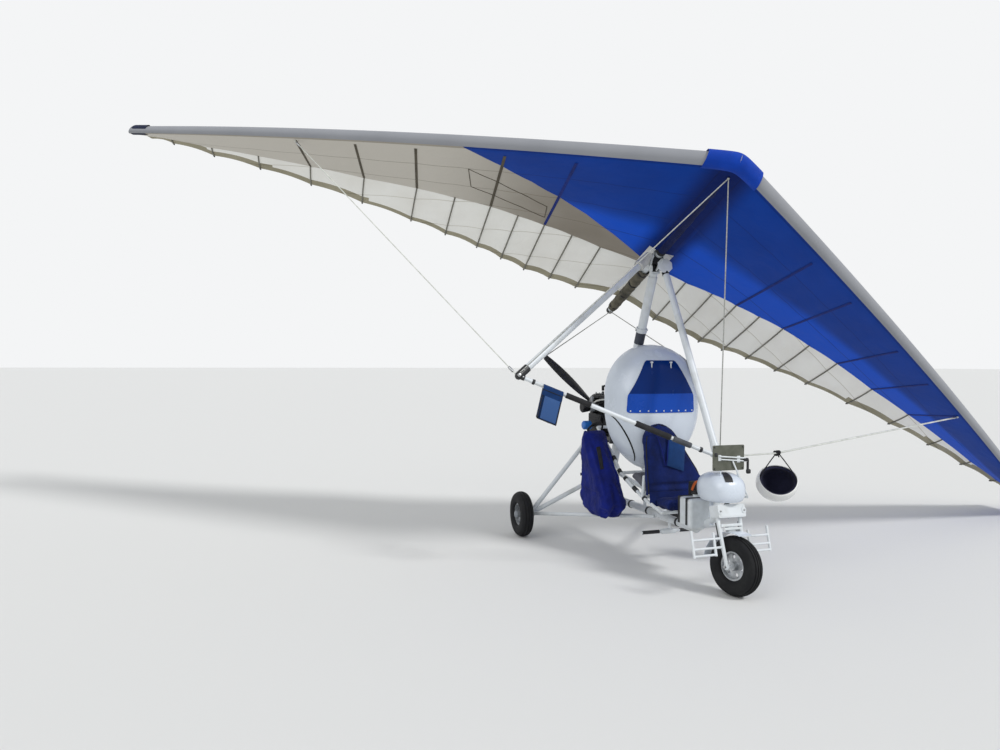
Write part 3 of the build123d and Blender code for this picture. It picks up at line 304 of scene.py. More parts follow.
def make_finishes():
    """Every finish on the aircraft, by the name of what it is."""
    blue = hex_code(bpy.context.scene.microlight_sail.blue)
    FINISH.update({
        "white paint": powder_coat("powder_coated_aluminium_white", "#d3d8db", "#aeb1ad"),
        "black paint": powder_coat("powder_coated_aluminium_black", "#1d1e20", "#3c3b38"),
        "grey paint": powder_coat("powder_coated_steel_grey", "#8d9093", "#6c6b68"),
        # painted shade: the white gelcoat is drawn bluish grey
        "gelcoat": gelcoat("white_gelcoat_on_glass_fibre_in_painted_shade", "#ccd4de", "#b6bfca"),
        "helmet shell": gelcoat("white_painted_helmet_shell", "#e9e9e6", "#cfcdc4"),
        "blue sheet": gelcoat("blue_acrylic_sheet", "#1247a8", "#0d3c94", 0.0, 0.18),
        "clear blue": gelcoat("blue_vinyl_window", "#1b4a83", "#163f70"),
        "blue plastic": moulded("moulded_polythene_blue", "#1f6fc4", "#185aa6", 0.4),
        "grey sleeve": moulded("moulded_mast_sleeve_grey", "#3f4450", "#33373f", 0.6),
        "hub grey": moulded("moulded_hub_cap_grey", "#8f959b", "#777c82", 0.5),
        # painted shade: a darker copy of the blue sheet for the window above its fold
        "shaded blue sheet": gelcoat("blue_acrylic_sheet_painted_shade", "#052a6c", "#04225a", 0.0, 0.12),
        "navy nylon": sewn_cloth("coated_nylon_navy", "#0f207c", "#0a1552", 0.0016, 0.085),
        "seat nylon": sewn_cloth("coated_nylon_dark_blue", "#0c2160", "#08153f", 0.0016, 0.07),
        "pocket nylon": sewn_cloth("faded_nylon_blue", "#173c70", "#122f5a", 0.0016, 0.05),
        "bag nylon": sewn_cloth("coated_nylon_teal_blue", "#12376b", "#0c2850", 0.0016, 0.05),
        "grey vinyl": sewn_cloth("grey_seat_vinyl", "#6b6c74", "#55565c", 0.0022, 0.06, 0.6, 0.1),
        "black webbing": sewn_cloth("black_webbing", "#191a1c", "#2c2c2e", 0.0014, 0.02),
        "sleeve cloth": sewn_cloth("brown_grey_keel_sleeve", "#6f6a5b", "#35332e", 0.002, 0.03),
        "white pad cloth": sewn_cloth("white_padded_cover", "#d6d6d2", "#a9a9a4", 0.002, 0.03),
        "lining": sewn_cloth("brushed_helmet_lining", "#23243a", "#15162a", 0.002, 0.02),
        "orange tape": sewn_cloth("orange_binding", "#c8632f", "#8d4322", 0.0012, 0.02),
        "foam": moulded("closed_cell_foam_black", "#1b1b1d", "#2b2b2d", 0.9, 500.0),
        "grey foam": moulded("closed_cell_foam_grey", "#4f5257", "#3d4044", 0.9, 500.0),
        "black plastic": moulded("moulded_nylon_black", "#17181a", "#2a2b2d", 0.55),
        "tank plastic": moulded("blow_moulded_polythene", "#d4d9dc", "#c3c8ca", 0.42, 300.0),
        "blade": moulded("carbon_composite_blade", "#131416", "#232426", 0.4, 260.0),
        "rubber hose": moulded("extruded_rubber_hose", "#16171a", "#2a2a2c", 0.6, 600.0),
        "silicone": moulded("white_silicone_hose", "#cfd0cc", "#a8a8a2", 0.5, 600.0),
        "tyre": tyre_rubber(),
        "cast metal": metal("cast_aluminium", "#a9abad", "#7f8184", 0.5, 0.02),
        "rim metal": metal("painted_cast_rim", "#c4c7ca", "#9da0a3", 0.45, 0.04),
        "engine black": metal("black_heatproof_cast_aluminium", "#2c2c2e", "#4a4a4b", 0.55, 0.02),
        "steel": metal("zinc_plated_steel", "#b3b5b6", "#8b8c8c", 0.35, 0.015),
        "silencer": metal("heat_stained_steel", "#5d5650", "#8a7a68", 0.5, 0.05),
        "wire": metal("galvanised_wire_rope", "#b9bab6", "#8f908c", 0.4, 0.01),
        "clear wire": moulded("plastic_covered_wire_rope", "#d5d7d0", "#b4b6ae", 0.45, 900.0),
        "smoked": polycarbonate(),
        # painted shade: the lower white cloth darkens towards the keel
        "lower white": sail_dacron(
            "white_sailcloth_lower", "#979085", "#867e72", "#6d6454", ends=[("keel", "#c7c2b8", 0.7, 2.0)]),
        # painted light: a brighter strip ahead of the rear seam; painted shade: darker towards the keel
        "lower blue": sail_dacron(
            "blue_sailcloth_lower", blue, "#00348a", "#00266a",
            ends=[("rear", "#0450cc", 0.50, 0.66), ("keel", "#001a5a", 0.24, 0.05)]),
        "upper white": sail_dacron("white_sailcloth_upper", "#e6e6e2", "#d8d7d0", "#b9b6aa"),
        # painted light: the single layer glows, standing in for light that comes through it
        "single white": sail_dacron("white_sailcloth_single_layer", "#e3e3df", "#d4d2cb", "#9b9482", 0.16),
        "edge grey": sail_dacron("grey_leading_edge_cloth", "#a9abb0", "#96989d", "#7f8186"),
        "hem": sail_dacron("sewn_trailing_hem", "#aaa48f", "#8d8772", "#6d6856"),
        "blue cap": sewn_cloth("blue_coated_polyester", "#0640b0", "#053698", 0.0016, 0.12),
        # painted shade: dark navy for the keel pocket
        "shaded keel pocket cloth": sewn_cloth("keel_pocket_cloth_painted_shade", "#06184e", "#04103a", 0.0016, 0.06),
        "dark cap": sewn_cloth("dark_blue_tip_cloth", "#1a2340", "#10172e", 0.0016, 0.06),
        # dark strips: sewn pockets and the panel outline, and painted shadows of the ribs on the lower white cloth
        "pocket and shadow strip": sewn_cloth("sewn_batten_pocket_and_rib_shadow", "#5e574a", "#474135", 0.002, 0.2),
        # painted shadows of the ribs behind the blue lower cloth
        "blue rib shadow": sewn_cloth("blue_painted_rib_shadow", "#0d2a80", "#0a2168", 0.002, 0.2),
        "batten": metal("aluminium_batten", "#8f8d85", "#75736b", 0.5, 0.05),
    })


# Finish of each carried-over node
NODE_FINISH = {
    "white paint": ["frame_keel", "mast", "mast_head", "legs_right", "legs_left", "seat_frame", "peg_bar", "fork",
                    "footrests", "wing_keel", "apex_bracket", "upright_right", "upright_left", "base_bar", "kingpost",
                    "corner_left"],
    "black paint": ["engine_bearers", "corner_right", "hang_block"],
    "engine black": ["engine_case", "engine_cylinders", "reduction_drive"],
    "silencer": ["exhaust"],
    "blade": ["propeller"],
    "gelcoat": ["fairing", "pod", "mudguard"],
    "blue sheet": ["fairing_window"],
    "seat nylon": ["front_seat"],
    "grey vinyl": ["rear_seat"],
    "navy nylon": ["pannier"],
    "tank plastic": ["tank"],
    "smoked": ["screen"],
    "tyre": ["nose_tyre", "tyre_right", "tyre_left"],
    "rim metal": ["nose_rim", "rim_right", "rim_left"],
    "sleeve cloth": ["keel_cover"],
    "black plastic": ["keel_plug"],
    "foam": ["grips"],
    "bag nylon": ["bar_bag"],
    "clear wire": ["side_wires_left", "side_wires_right"],
    "wire": ["front_wires", "rear_wires"],
    "blue cap": ["nose_cap"],
    "helmet shell": ["helmet"],
    "lower white": ["sail_right", "sail_left", "keel_pocket"],
}


def dress_nodes():
    for finish, names in NODE_FINISH.items():
        for name in names:
            mesh = frame["nodes"][name].data
            mesh.materials.clear()
            mesh.materials.append(FINISH[finish])


# Modelling helpers

def select_only(obj):
    bpy.ops.object.select_all(action="DESELECT")
    obj.select_set(True)
    bpy.context.view_layer.objects.active = obj


def settle(obj, place=None):
    """Moves a piece's place into its mesh and leaves the object at the origin."""
    if place is not None:
        obj.matrix_world = place @ obj.matrix_world
    select_only(obj)
    bpy.ops.object.transform_apply(location=True, rotation=True, scale=True)


def outward(obj):
    select_only(obj)
    bpy.ops.object.mode_set(mode="EDIT")
    bpy.ops.mesh.select_all(action="SELECT")
    bpy.ops.mesh.remove_doubles(threshold=0.00002)
    bpy.ops.mesh.normals_make_consistent(inside=False)
    bpy.ops.object.mode_set(mode="OBJECT")


def modify(obj, kind, **settings):
    """Adds a modifier and applies it."""
    select_only(obj)
    added = obj.modifiers.new(kind.lower(), kind)
    for key, value in settings.items():
        setattr(added, key, value)
    bpy.ops.object.modifier_apply(modifier=added.name)


def smooth(obj, angle=35):
    select_only(obj)
    bpy.ops.object.shade_smooth_by_angle(angle=math.radians(angle))


def hand_over(obj, name, body, finish, replaces=()):
    """Names a finished piece, gives it its finish and lets it ride on its body."""
    obj.name = name
    obj.data.name = name
    if finish is not None:
        obj.data.materials.clear()
        obj.data.materials.append(FINISH[finish])
    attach(obj, body)
    if replaces:
        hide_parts(*replaces)
    return obj


def join(objs):
    """One mesh from several."""
    select_only(objs[0])
    if len(objs) == 1:
        return objs[0]
    for obj in objs:
        obj.select_set(True)
    bpy.ops.object.join()
    return bpy.context.view_layer.objects.active


def piece(parts, name, ride, finish, replaces=(), angle=35, wall=0.0, offset=0):
    """Joins a piece's parts, gives a sheet its wall, sets it in its place on its body and hands it over."""
    obj = join(parts) if isinstance(parts, list) else parts
    if wall:
        modify(obj, "SOLIDIFY", thickness=wall, offset=offset)
    place, body = ride
    settle(obj, place)
    smooth(obj, angle)
    return hand_over(obj, name, body, finish, replaces)


def rod(a, b, radius, bevel=0.0, sides=24):
    """Bar between two points, its ends' edges rounded where a bevel is given."""
    a, b = Vector(a), Vector(b)
    run = b - a
    bpy.ops.object.select_all(action="DESELECT")
    bpy.ops.mesh.primitive_cylinder_add(
        vertices=sides, radius=radius, depth=run.length, location=(a + b) / 2,
        rotation=run.to_track_quat("Z", "Y").to_euler())
    obj = bpy.context.active_object
    if bevel:
        modify(obj, "BEVEL", width=bevel, segments=2, limit_method="ANGLE", angle_limit=math.radians(50))
    return obj


def block(low, high, bevel=0.0, segments=3):
    """Block by its limits with rounded edges."""
    low, high = Vector(low), Vector(high)
    bpy.ops.object.select_all(action="DESELECT")
    bpy.ops.mesh.primitive_cube_add(size=1, location=(low + high) / 2, scale=high - low)
    obj = bpy.context.active_object
    settle(obj)
    if bevel:
        modify(obj, "BEVEL", width=bevel, segments=segments)
    return obj


def ball(centre, radius, sides=24):
    bpy.ops.object.select_all(action="DESELECT")
    bpy.ops.mesh.primitive_uv_sphere_add(segments=sides, ring_count=sides // 2, radius=radius, location=centre)
    return bpy.context.active_object


def ring(centre, axis, major, minor, sides=40):
    bpy.ops.object.select_all(action="DESELECT")
    bpy.ops.mesh.primitive_torus_add(
        major_radius=major, minor_radius=minor, major_segments=sides, minor_segments=12, location=centre,
        rotation=Vector(axis).to_track_quat("Z", "Y").to_euler())
    return bpy.context.active_object


def spin(profile, centre, axis="X", steps=64):
    """Solid of revolution from (along, radius) pairs."""
    along, out = {"X": (Vector((1, 0, 0)), Vector((0, 0, 1))), "Y": (Vector((0, 1, 0)), Vector((0, 0, 1))),
                  "Z": (Vector((0, 0, 1)), Vector((1, 0, 0)))}[axis]
    mesh = bpy.data.meshes.new("profile")
    points = [along * a + out * r for a, r in profile]
    mesh.from_pydata(points, [(k, k + 1) for k in range(len(points) - 1)], [])
    obj = bpy.data.objects.new("profile", mesh)
    bpy.context.collection.objects.link(obj)
    select_only(obj)
    bpy.ops.object.mode_set(mode="EDIT")
    bpy.ops.mesh.select_all(action="SELECT")
    bpy.ops.mesh.spin(steps=steps, angle=2 * math.pi, center=(0, 0, 0), axis=along)
    bpy.ops.mesh.select_all(action="SELECT")
    bpy.ops.mesh.remove_doubles(threshold=0.00002)
    bpy.ops.mesh.normals_make_consistent(inside=False)
    bpy.ops.object.mode_set(mode="OBJECT")
    obj.location = centre
    settle(obj)
    return obj


def flex(points, radius, order=3, sides=8):
    """Tube along one smooth line through given points, its ends on the first and last."""
    curve = bpy.data.curves.new("line", "CURVE")
    curve.dimensions = "3D"
    spline = curve.splines.new("NURBS")
    spline.points.add(len(points) - 1)
    for point, at in zip(spline.points, points):
        point.co = (*at, 1)
    spline.order_u = order
    spline.use_endpoint_u = True
    spline.resolution_u = 8
    curve.bevel_depth = radius
    curve.bevel_resolution = max(0, sides // 4 - 1)
    curve.use_fill_caps = True
    obj = bpy.data.objects.new("line", curve)
    bpy.context.collection.objects.link(obj)
    select_only(obj)
    bpy.ops.object.convert(target="MESH")
    return bpy.context.active_object


def sheet_mesh(name, rows, closed=False):
    """Skin over rows of points, each row as long as the next; closed joins each row's ends."""
    count = len(rows[0])
    points = [p for row in rows for p in row]
    faces = []
    for i in range(len(rows) - 1):
        for j in range(count if closed else count - 1):
            k = (j + 1) % count
            faces.append((i * count + j, i * count + k, (i + 1) * count + k, (i + 1) * count + j))
    mesh = bpy.data.meshes.new(name)
    mesh.from_pydata([tuple(p) for p in points], [], faces)
    mesh.update()
    obj = bpy.data.objects.new(name, mesh)
    bpy.context.collection.objects.link(obj)
    return obj


def circle(count, radius=1.0, first=0.0):
    """Evenly spaced (across, up) pairs round a circle, the first at an angle in degrees."""
    turns = [math.radians(first + 360 / count * k) for k in range(count)]
    return [(radius * math.cos(a), radius * math.sin(a)) for a in turns]


def moved(place, *points):
    out = [place @ Vector(p) for p in points]
    return out if len(out) > 1 else out[0]


# Sail

# Batten stations out from the keel, with the trailing edge's place behind the hang bolt at each
BATTENS = [(0.40, 1.02), (0.66, 1.075), (0.91, 1.13), (1.15, 1.12), (1.40, 1.075), (1.72, 1.12), (2.07, 1.16),
           (2.57, 1.24), (3.10, 1.325), (3.64, 1.45), (4.15, 1.60), (4.60, 1.71)]
# Distance out, trailing edge y, share of the chord with a lower surface, camber
STATIONS = [(0.034, 0.885, 0.660, 0.050), (0.400, 1.015, 0.660, 0.052), (0.910, 1.110, 0.655, 0.056),
            (1.400, 1.095, 0.645, 0.060), (2.070, 1.155, 0.665, 0.064), (2.570, 1.235, 0.705, 0.066),
            (3.100, 1.325, 0.730, 0.066), (3.640, 1.450, 0.765, 0.064), (4.150, 1.600, 0.810, 0.060),
            (4.600, 1.710, 0.860, 0.050), (4.850, 1.800, 0.900, 0.040)]
NOSE_Y = -1.417
EDGE_Z = 0.095
TIP_X = 4.85
SKIN = 0.005
TAIL_HOLLOW = 0.013
# places in the sail's closed loop: the trailing edge, and the rear end of the lower cloth
UPPER_END, LOWER_START = 43, 54
HEM = 0.094
SOCK_UNDER = 1
# how far the lower cloth is drawn down at the keel, and how far out that reaches
KEEL_DRAW, KEEL_DRAW_OUT = 0.156, 0.91
# near the keel the lower cloth ends further forward: how far out that reaches, and the y where it ends
KEEL_GAP, KEEL_GAP_Y = 0.105, -0.165


def station(x):
    """Trailing edge y, share of the chord with a lower surface, and camber at a distance out."""
    x = max(abs(x), STATIONS[0][0])
    for a, b in zip(STATIONS[:-1], STATIONS[1:]):
        if x <= b[0]:
            t = (x - a[0]) / (b[0] - a[0])
            return [p + (q - p) * t for p, q in zip(a[1:], b[1:])]
    return list(STATIONS[-1][1:])


def edge_line(x):
    """Centre of the leading edge at a distance out: y, z and radius."""
    sizes = bpy.context.scene.microlight_sail
    s = abs(x) / math.sin(sizes.sweep)
    t = (s / sizes.edge_length) ** 2
    y = NOSE_Y + s * math.cos(sizes.sweep) + 0.190 * t
    z = EDGE_Z + 0.0071 * s - 0.094 * t
    return y, z, sizes.edge_radius - 0.014 * s / sizes.edge_length


def between_battens(x):
    """How far a place lies from its two battens: 0 on one, 1 half way."""
    x = abs(x)
    stops = [0.0] + [b[0] for b in BATTENS] + [TIP_X]
    for a, b in zip(stops[:-1], stops[1:]):
        if x <= b:
            return math.sin(math.pi * (x - a) / (b - a))
    return 0.0


def tail_line(x):
    """Trailing edge at a distance out: y and z, hollowed a little between the battens."""
    m = abs(x)
    y = station(x)[0]
    z = EDGE_Z - 0.020 + 0.049 * m - 0.0038 * m * m + 0.037 * max(0.0, 1 - 2 * m)
    return y - TAIL_HOLLOW * between_battens(x) ** 0.8, z


def circle_through(a, b, c):
    """Centre and radius of the circle through three points of a plane."""
    (ax, ay), (bx, by), (cx, cy) = a, b, c
    d = 2 * (ax * (by - cy) + bx * (cy - ay) + cx * (ay - by))
    ux = ((ax * ax + ay * ay) * (by - cy) + (bx * bx + by * by) * (cy - ay) + (cx * cx + cy * cy) * (ay - by)) / d
    uy = ((ax * ax + ay * ay) * (cx - bx) + (bx * bx + by * by) * (ax - cx) + (cx * cx + cy * cy) * (bx - ax)) / d
    return ux, uy, math.hypot(ax - ux, ay - uy)


def sail_shape(x):
    """Facts of the sail's section at a distance out."""
    y0, z0, r = edge_line(x)
    tail, full, camber = station(x)
    share = full if abs(x) >= KEEL_GAP else (KEEL_GAP_Y - y0) / (tail - y0)
    y1, z1 = tail_line(x)
    chord = y1 - y0
    h = camber * chord
    hump_up = r * (1 - full) + h * 0.86
    arc = circle_through((0, r), (0.30 * chord, r + h), (full * chord, hump_up))
    return {"y0": y0, "z0": z0, "r": r, "chord": chord, "rise": (z1 - z0) / chord, "share": share, "full": full,
            "arc": arc, "hump_up": hump_up}


def upper_up(x, f, t):
    """Height of the upper cloth over the chord line at a share of the chord."""
    if t <= f["full"]:
        cx, cy, radius = f["arc"]
        return cy + math.sqrt(max(0.0, radius ** 2 - (t * f["chord"] - cx) ** 2))
    k = (t - f["full"]) / (1 - f["full"])
    return f["hump_up"] * (1 - k) * (1 - 0.10 * math.sin(math.pi * k)) + SKIN / 2 * k


def sail_point(x, f, t, up):
    return Vector((x, f["y0"] + t * f["chord"], f["z0"] + t * f["chord"] * f["rise"] + up))


def lower_up(x, f, t):
    """Height of the lower cloth: tight from the leading edge back, drawn down round the keel."""
    base = -f["r"] + t / f["full"] * (f["hump_up"] - SKIN + f["r"])
    sag = KEEL_DRAW * max(0.0, 1 - abs(x) / KEEL_DRAW_OUT) ** 1.5
    puff = 0.006 * between_battens(x) * math.sin(math.pi * min(1.0, t / f["share"]))
    return base - sag * t / f["full"] - puff


def sail_loop(x):
    """Closed section of the sail with the zone of each stretch: edge, upper, single, hem, lower."""
    f = sail_shape(x)
    billow = bpy.context.scene.microlight_sail.billow * between_battens(x)
    points, zones, back = [], [], []
    # round the nose, from below to above
    for k in range(13):
        a = math.radians(-90 - 180 * k / 12)
        points.append(sail_point(x, f, f["r"] * math.cos(a) / f["chord"], f["r"] * math.sin(a)))
        zones.append("lower" if k < SOCK_UNDER else "edge")
        back.append(0.0)
    # upper cloth back to the trailing edge
    for k in range(1, 31):
        t = (k / 30) ** 1.15
        swell = billow * math.sin(math.pi * min(1.0, t * 0.62)) * min(1.0, 2.2 * t)
        points.append(sail_point(x, f, t, upper_up(x, f, t) + swell))
        zones.append("edge" if t * f["chord"] < 0.03 else "upper")
        back.append(t * f["chord"])
    # single layer forward to the rear end of the lower cloth
    rear = [1.0, 0.985, 0.97] + [1 - (1 - f["share"]) * (0.12 + 0.88 * k / 8) for k in range(1, 9)]
    for k, t in enumerate(rear):
        swell = billow * math.sin(math.pi * min(1.0, t * 0.62)) * min(1.0, 2.2 * t)
        points.append(sail_point(x, f, t, upper_up(x, f, t) + swell - SKIN))
        zones.append("hem" if k < 2 else "single")
        back.append(t * f["chord"])
    # lower cloth forward to the nose
    for k in range(0, 15):
        t = f["share"] * (1 - k / 15)
        points.append(sail_point(x, f, t, lower_up(x, f, t)))
        zones.append("lower")
        back.append(t * f["chord"])
    return points, zones, back


BLUE_RIGHT_OUT = 1.70
BLUE_RIGHT_KEEL_Y = 0.080


def lower_is_blue(x, y):
    """The left half's lower cloth is blue, and on the right a triangle against the keel."""
    if x >= 0:
        return True
    y_out = edge_line(BLUE_RIGHT_OUT)[0]
    limit = BLUE_RIGHT_KEEL_Y + (y_out - BLUE_RIGHT_KEEL_Y) * -x / BLUE_RIGHT_OUT
    return -x < BLUE_RIGHT_OUT and y < limit


def sail_spots():
    """Distances out at which the sail has a section: close at the battens and the keel."""
    stops = [0.0, 0.034, KEEL_GAP - 0.001, KEEL_GAP + 0.001, 0.24] + [b[0] for b in BATTENS] + [TIP_X]
    spots = []
    for a, b in zip(stops[:-1], stops[1:]):
        steps = max(1, round((b - a) / 0.065))
        spots += [a + (b - a) * k / steps for k in range(steps)]
    spots.append(TIP_X)
    return [-x for x in reversed(spots[1:])] + spots


def cloth_rows(first, last):
    """Sections of one sheet of the sail, between two places of the closed loop, drawn shut at both tips."""
    spots = [-TIP_X, -TIP_X, *sail_spots(), TIP_X, TIP_X]
    pinch = {0: 0.08, 1: 0.55, len(spots) - 2: 0.55, len(spots) - 1: 0.08}
    rows, zones, places = [], None, []
    for i, x in enumerate(spots):
        points, zones, back = sail_loop(x)
        f, keep = sail_shape(x), pinch.get(i, 1.0)
        row = []
        for p in points[first:] + points[:first]:
            chord_z = f["z0"] + (p.y - f["y0"]) * f["rise"]
            y = p.y if p.y > f["y0"] else f["y0"] + (p.y - f["y0"]) * keep
            row.append(Vector((p.x + math.copysign(0.014 * (1 - keep), x), y, chord_z + (p.z - chord_z) * keep)))
        rows.append(row[:last])
        depth = max(0.1, f["chord"] * f["share"])
        places.append([(x, q, q / depth) for q in (back[first:] + back[:first])[:last]])
    return rows, (zones[first:] + zones[:first])[:last], places


def sail_sheet(name, first, last, finishes, zone_slots, faces_up):
    """One sheet of the sail with its finishes and both maps, its outer side turned up or down."""
    rows, zones, places = cloth_rows(first, last)
    obj = sheet_mesh(name, rows)
    mesh = obj.data
    count = len(rows[0])
    for finish in finishes:
        mesh.materials.append(FINISH[finish])
    cloth, lie = mesh.uv_layers.new(name="cloth"), mesh.uv_layers.new(name="lie")
    for face in mesh.polygons:
        col = min(v % count for v in face.vertices)
        face.material_index = zone_slots[zones[col + 1]]
        for loop in face.loop_indices:
            i, j = divmod(mesh.loops[loop].vertex_index, count)
            x, back, share = places[i][j]
            cloth.data[loop].uv = (x, back)
            lie.data[loop].uv = (x, share)
    height = sum(face.normal.z * face.area for face in mesh.polygons)
    if (height > 0) != faces_up:
        select_only(obj)
        bpy.ops.object.mode_set(mode="EDIT")
        bpy.ops.mesh.select_all(action="SELECT")
        bpy.ops.mesh.flip_normals()
        bpy.ops.object.mode_set(mode="OBJECT")
    return obj


def build_sail():
    """Upper cloth with the sock round the edges, and the lower cloth with its blue part."""
    upper = sail_sheet("sail_upper", SOCK_UNDER, UPPER_END - SOCK_UNDER,
                       ["edge grey", "upper white", "hem", "edge grey", "single white", "hem"],
                       {"edge": 0, "upper": 1, "lower": 0}, True)
    for face in upper.data.polygons:
        if face.material_index == 1 and all(abs(tail_line(v.x)[0] - v.y) < HEM for v in
                                            (upper.data.vertices[k].co for k in face.vertices)):
            face.material_index = 2
    modify(upper, "SOLIDIFY", thickness=SKIN, offset=-1, material_offset=3)
    settle(upper, WING)
    smooth(upper, 40)
    nodes = ("sail_right", "sail_left", "keel_pocket")
    hand_over(upper, "sail_upper", "wing", None, nodes)

    lower = sail_sheet("sail_lower", LOWER_START, 15 + SOCK_UNDER + 1, ["lower white", "lower blue"],
                       {"lower": 0, "edge": 0}, False)
    # the blue triangle's edge is cut across the lower cloth of the right half
    shell = bmesh.new()
    shell.from_mesh(lower.data)
    y_out = edge_line(BLUE_RIGHT_OUT)[0]
    side = Vector((BLUE_RIGHT_OUT, BLUE_RIGHT_KEEL_Y - y_out, 0))
    across = Vector((side.y, -side.x, 0)).normalized()
    right = [f for f in shell.faces if f.calc_center_median().x < 0]
    geometry = right + list({e for f in right for e in f.edges}) + list({v for f in right for v in f.verts})
    bmesh.ops.bisect_plane(shell, geom=geometry, plane_co=(0, BLUE_RIGHT_KEEL_Y, 0), plane_no=across, dist=0.0005)
    for f in shell.faces:
        c = f.calc_center_median()
        f.material_index = 1 if lower_is_blue(c.x, c.y) else 0
    shell.to_mesh(lower.data)
    shell.free()
    piece(lower, "sail_lower", ON_WING, None, nodes, angle=40, wall=0.0012, offset=-1)


def cloth_strip(x0, x1, shares, lift, height, steps=16):
    """Narrow strip that follows the sail's section between two shares of the chord, for sewn pockets and painted rib
    shadows.
    """
    rows = []
    for k in range(steps + 1):
        t = shares[0] + (shares[1] - shares[0]) * k / steps
        row = []
        for x in (x0, (x0 + x1) / 2, x1):
            f = sail_shape(x)
            row.append(sail_point(x, f, t, height(x, f, t) + (lift if x != (x0 + x1) / 2 else lift * 1.6)))
        rows.append(row)
    return sheet_mesh("strip", rows)


def on_lower(x, y, lift):
    """Point on the lower cloth at a place out and back, by a small distance under it."""
    f = sail_shape(x)
    t = (y - f["y0"]) / f["chord"]
    return sail_point(x, f, t, lower_up(x, f, t) - lift)


def build_battens():
    """Battens behind the lower cloth, seen as dark rods, the pockets sewn over them, and painted rib shadows on the
    lower cloth.
    """
    rods, strips, blue_shadows, tips = [], [], [], []
    for side in (-1, 1):
        for x, _ in BATTENS:
            x *= side
            f = sail_shape(x)
            start = f["share"] - 0.01
            for k in range(5):
                t0 = start + (0.998 - start) * k / 5
                t1 = start + (0.998 - start) * (k + 1) / 5
                a, b = (sail_point(x, f, t, upper_up(x, f, t) - SKIN - 0.005) for t in (t0, t1))
                rods.append(rod(a, b, 0.0065, sides=8))
            end = sail_point(x, f, 0.985, upper_up(x, f, 0.985) - SKIN - 0.003)
            tip = sail_point(x, f, 1.0, 0) + Vector((0, 0.022, 0))
            tips.append(rod(end, tip, 0.0075, 0.003, 10))
        # dark strips on the lower cloth: painted shadows of the ribs behind it
        for x in (0.91, 1.40, 2.07, 2.57, 3.10):
            x *= side
            f = sail_shape(x)
            strip = cloth_strip(x - 0.011, x + 0.011, (0.05, f["share"] - 0.01), -0.0022, lower_up)
            (blue_shadows if lower_is_blue(x, f["y0"] + 0.3 * f["chord"]) else strips).append(strip)
        for x, _ in BATTENS:
            x *= side
            strips.append(cloth_strip(x - 0.010, x + 0.010, (0.06, 0.99), 0.0022, upper_up, 24))
    # outline of the closed inspection panel on the right half
    panel = [(-1.644, -0.135), (-1.599, 0.190), (-0.939, 0.249), (-0.961, 0.027), (-1.644, -0.135)]
    for (x0, y0), (x1, y1) in zip(panel[:-1], panel[1:]):
        for k in range(12):
            a, b = (Vector((x0 + (x1 - x0) * q / 12, y0 + (y1 - y0) * q / 12, 0)) for q in (k, k + 1))
            a, b = (on_lower(p.x, p.y, 0.001) for p in (a, b))
            strips.append(rod(a, b, 0.0028, sides=6))
    for group, name, finish in ((rods, "battens", "batten"), (strips, "batten_pockets_and_rib_shadows", "pocket and shadow strip"),
                                (blue_shadows, "blue_rib_shadow_strips", "blue rib shadow"), (tips, "batten_tips", "black plastic")):
        piece(group, name, ON_WING, finish, angle=50, wall=0.0012 if group in (strips, blue_shadows) else 0.0)


def plate(width, height, thickness, corner, place=None):
    """Flat upright plate with round corners, drawn about its middle and put in its place."""
    bpy.ops.object.select_all(action="DESELECT")
    bpy.ops.mesh.primitive_plane_add(size=1, rotation=(math.pi / 2, 0, 0))
    obj = bpy.context.active_object
    obj.scale = (width, height, 1)
    settle(obj)
    bpy.ops.object.mode_set(mode="EDIT")
    bpy.ops.mesh.select_all(action="SELECT")
    bpy.ops.mesh.bevel(offset=corner, segments=5, affect="VERTICES")
    bpy.ops.object.mode_set(mode="OBJECT")
    modify(obj, "SOLIDIFY", thickness=thickness, offset=0)
    settle(obj, place)
    return obj


def sleeve(a, b, inner, outer, edge=0.002, steps=28):
    """Tube between two points with both its ends rounded."""
    a, b = Vector(a), Vector(b)
    length = (b - a).length
    edge = min(edge, (outer - inner) * 0.45)
    profile = [(0, inner), (0, outer - edge), (edge, outer), (length - edge, outer), (length, outer - edge),
               (length, inner), (0, inner)]
    obj = spin(profile, (0, 0, 0), "Z", steps)
    settle(obj, Matrix.Translation(a) @ (b - a).to_track_quat("Z", "Y").to_matrix().to_4x4())
    return obj


def soft_copy(node, voxel, shrink):
    """Even closed skin over a CAD solid, drawn in a little so that it can swell."""
    mesh = frame["nodes"][node].data.copy()
    mesh.materials.clear()
    obj = bpy.data.objects.new(node + "_skin", mesh)
    bpy.context.collection.objects.link(obj)
    outward(obj)
    modify(obj, "REMESH", mode="VOXEL", voxel_size=voxel)
    modify(obj, "SMOOTH", factor=0.5, iterations=6)
    modify(obj, "DISPLACE", strength=-shrink, mid_level=0.0)
    return obj


def inflate(obj, cap, pressure=4.0):
    """Swells a closed cloth skin by simulation, no point by more than the cap, then rounds it once."""
    start = [v.co.copy() for v in obj.data.vertices]
    select_only(obj)
    cloth = obj.modifiers.new("cloth", "CLOTH")
    cloth.settings.use_pressure = True
    cloth.settings.uniform_pressure_force = pressure
    cloth.settings.effector_weights.gravity = 0
    for step in range(1, 21):
        bpy.context.scene.frame_set(step)
    bpy.ops.object.modifier_apply(modifier="cloth")
    bpy.context.scene.frame_set(1)
    for v, was in zip(obj.data.vertices, start):
        move = v.co - was
        if move.length > cap:
            v.co = was + move.normalized() * cap
    modify(obj, "SUBSURF", levels=1, render_levels=1)


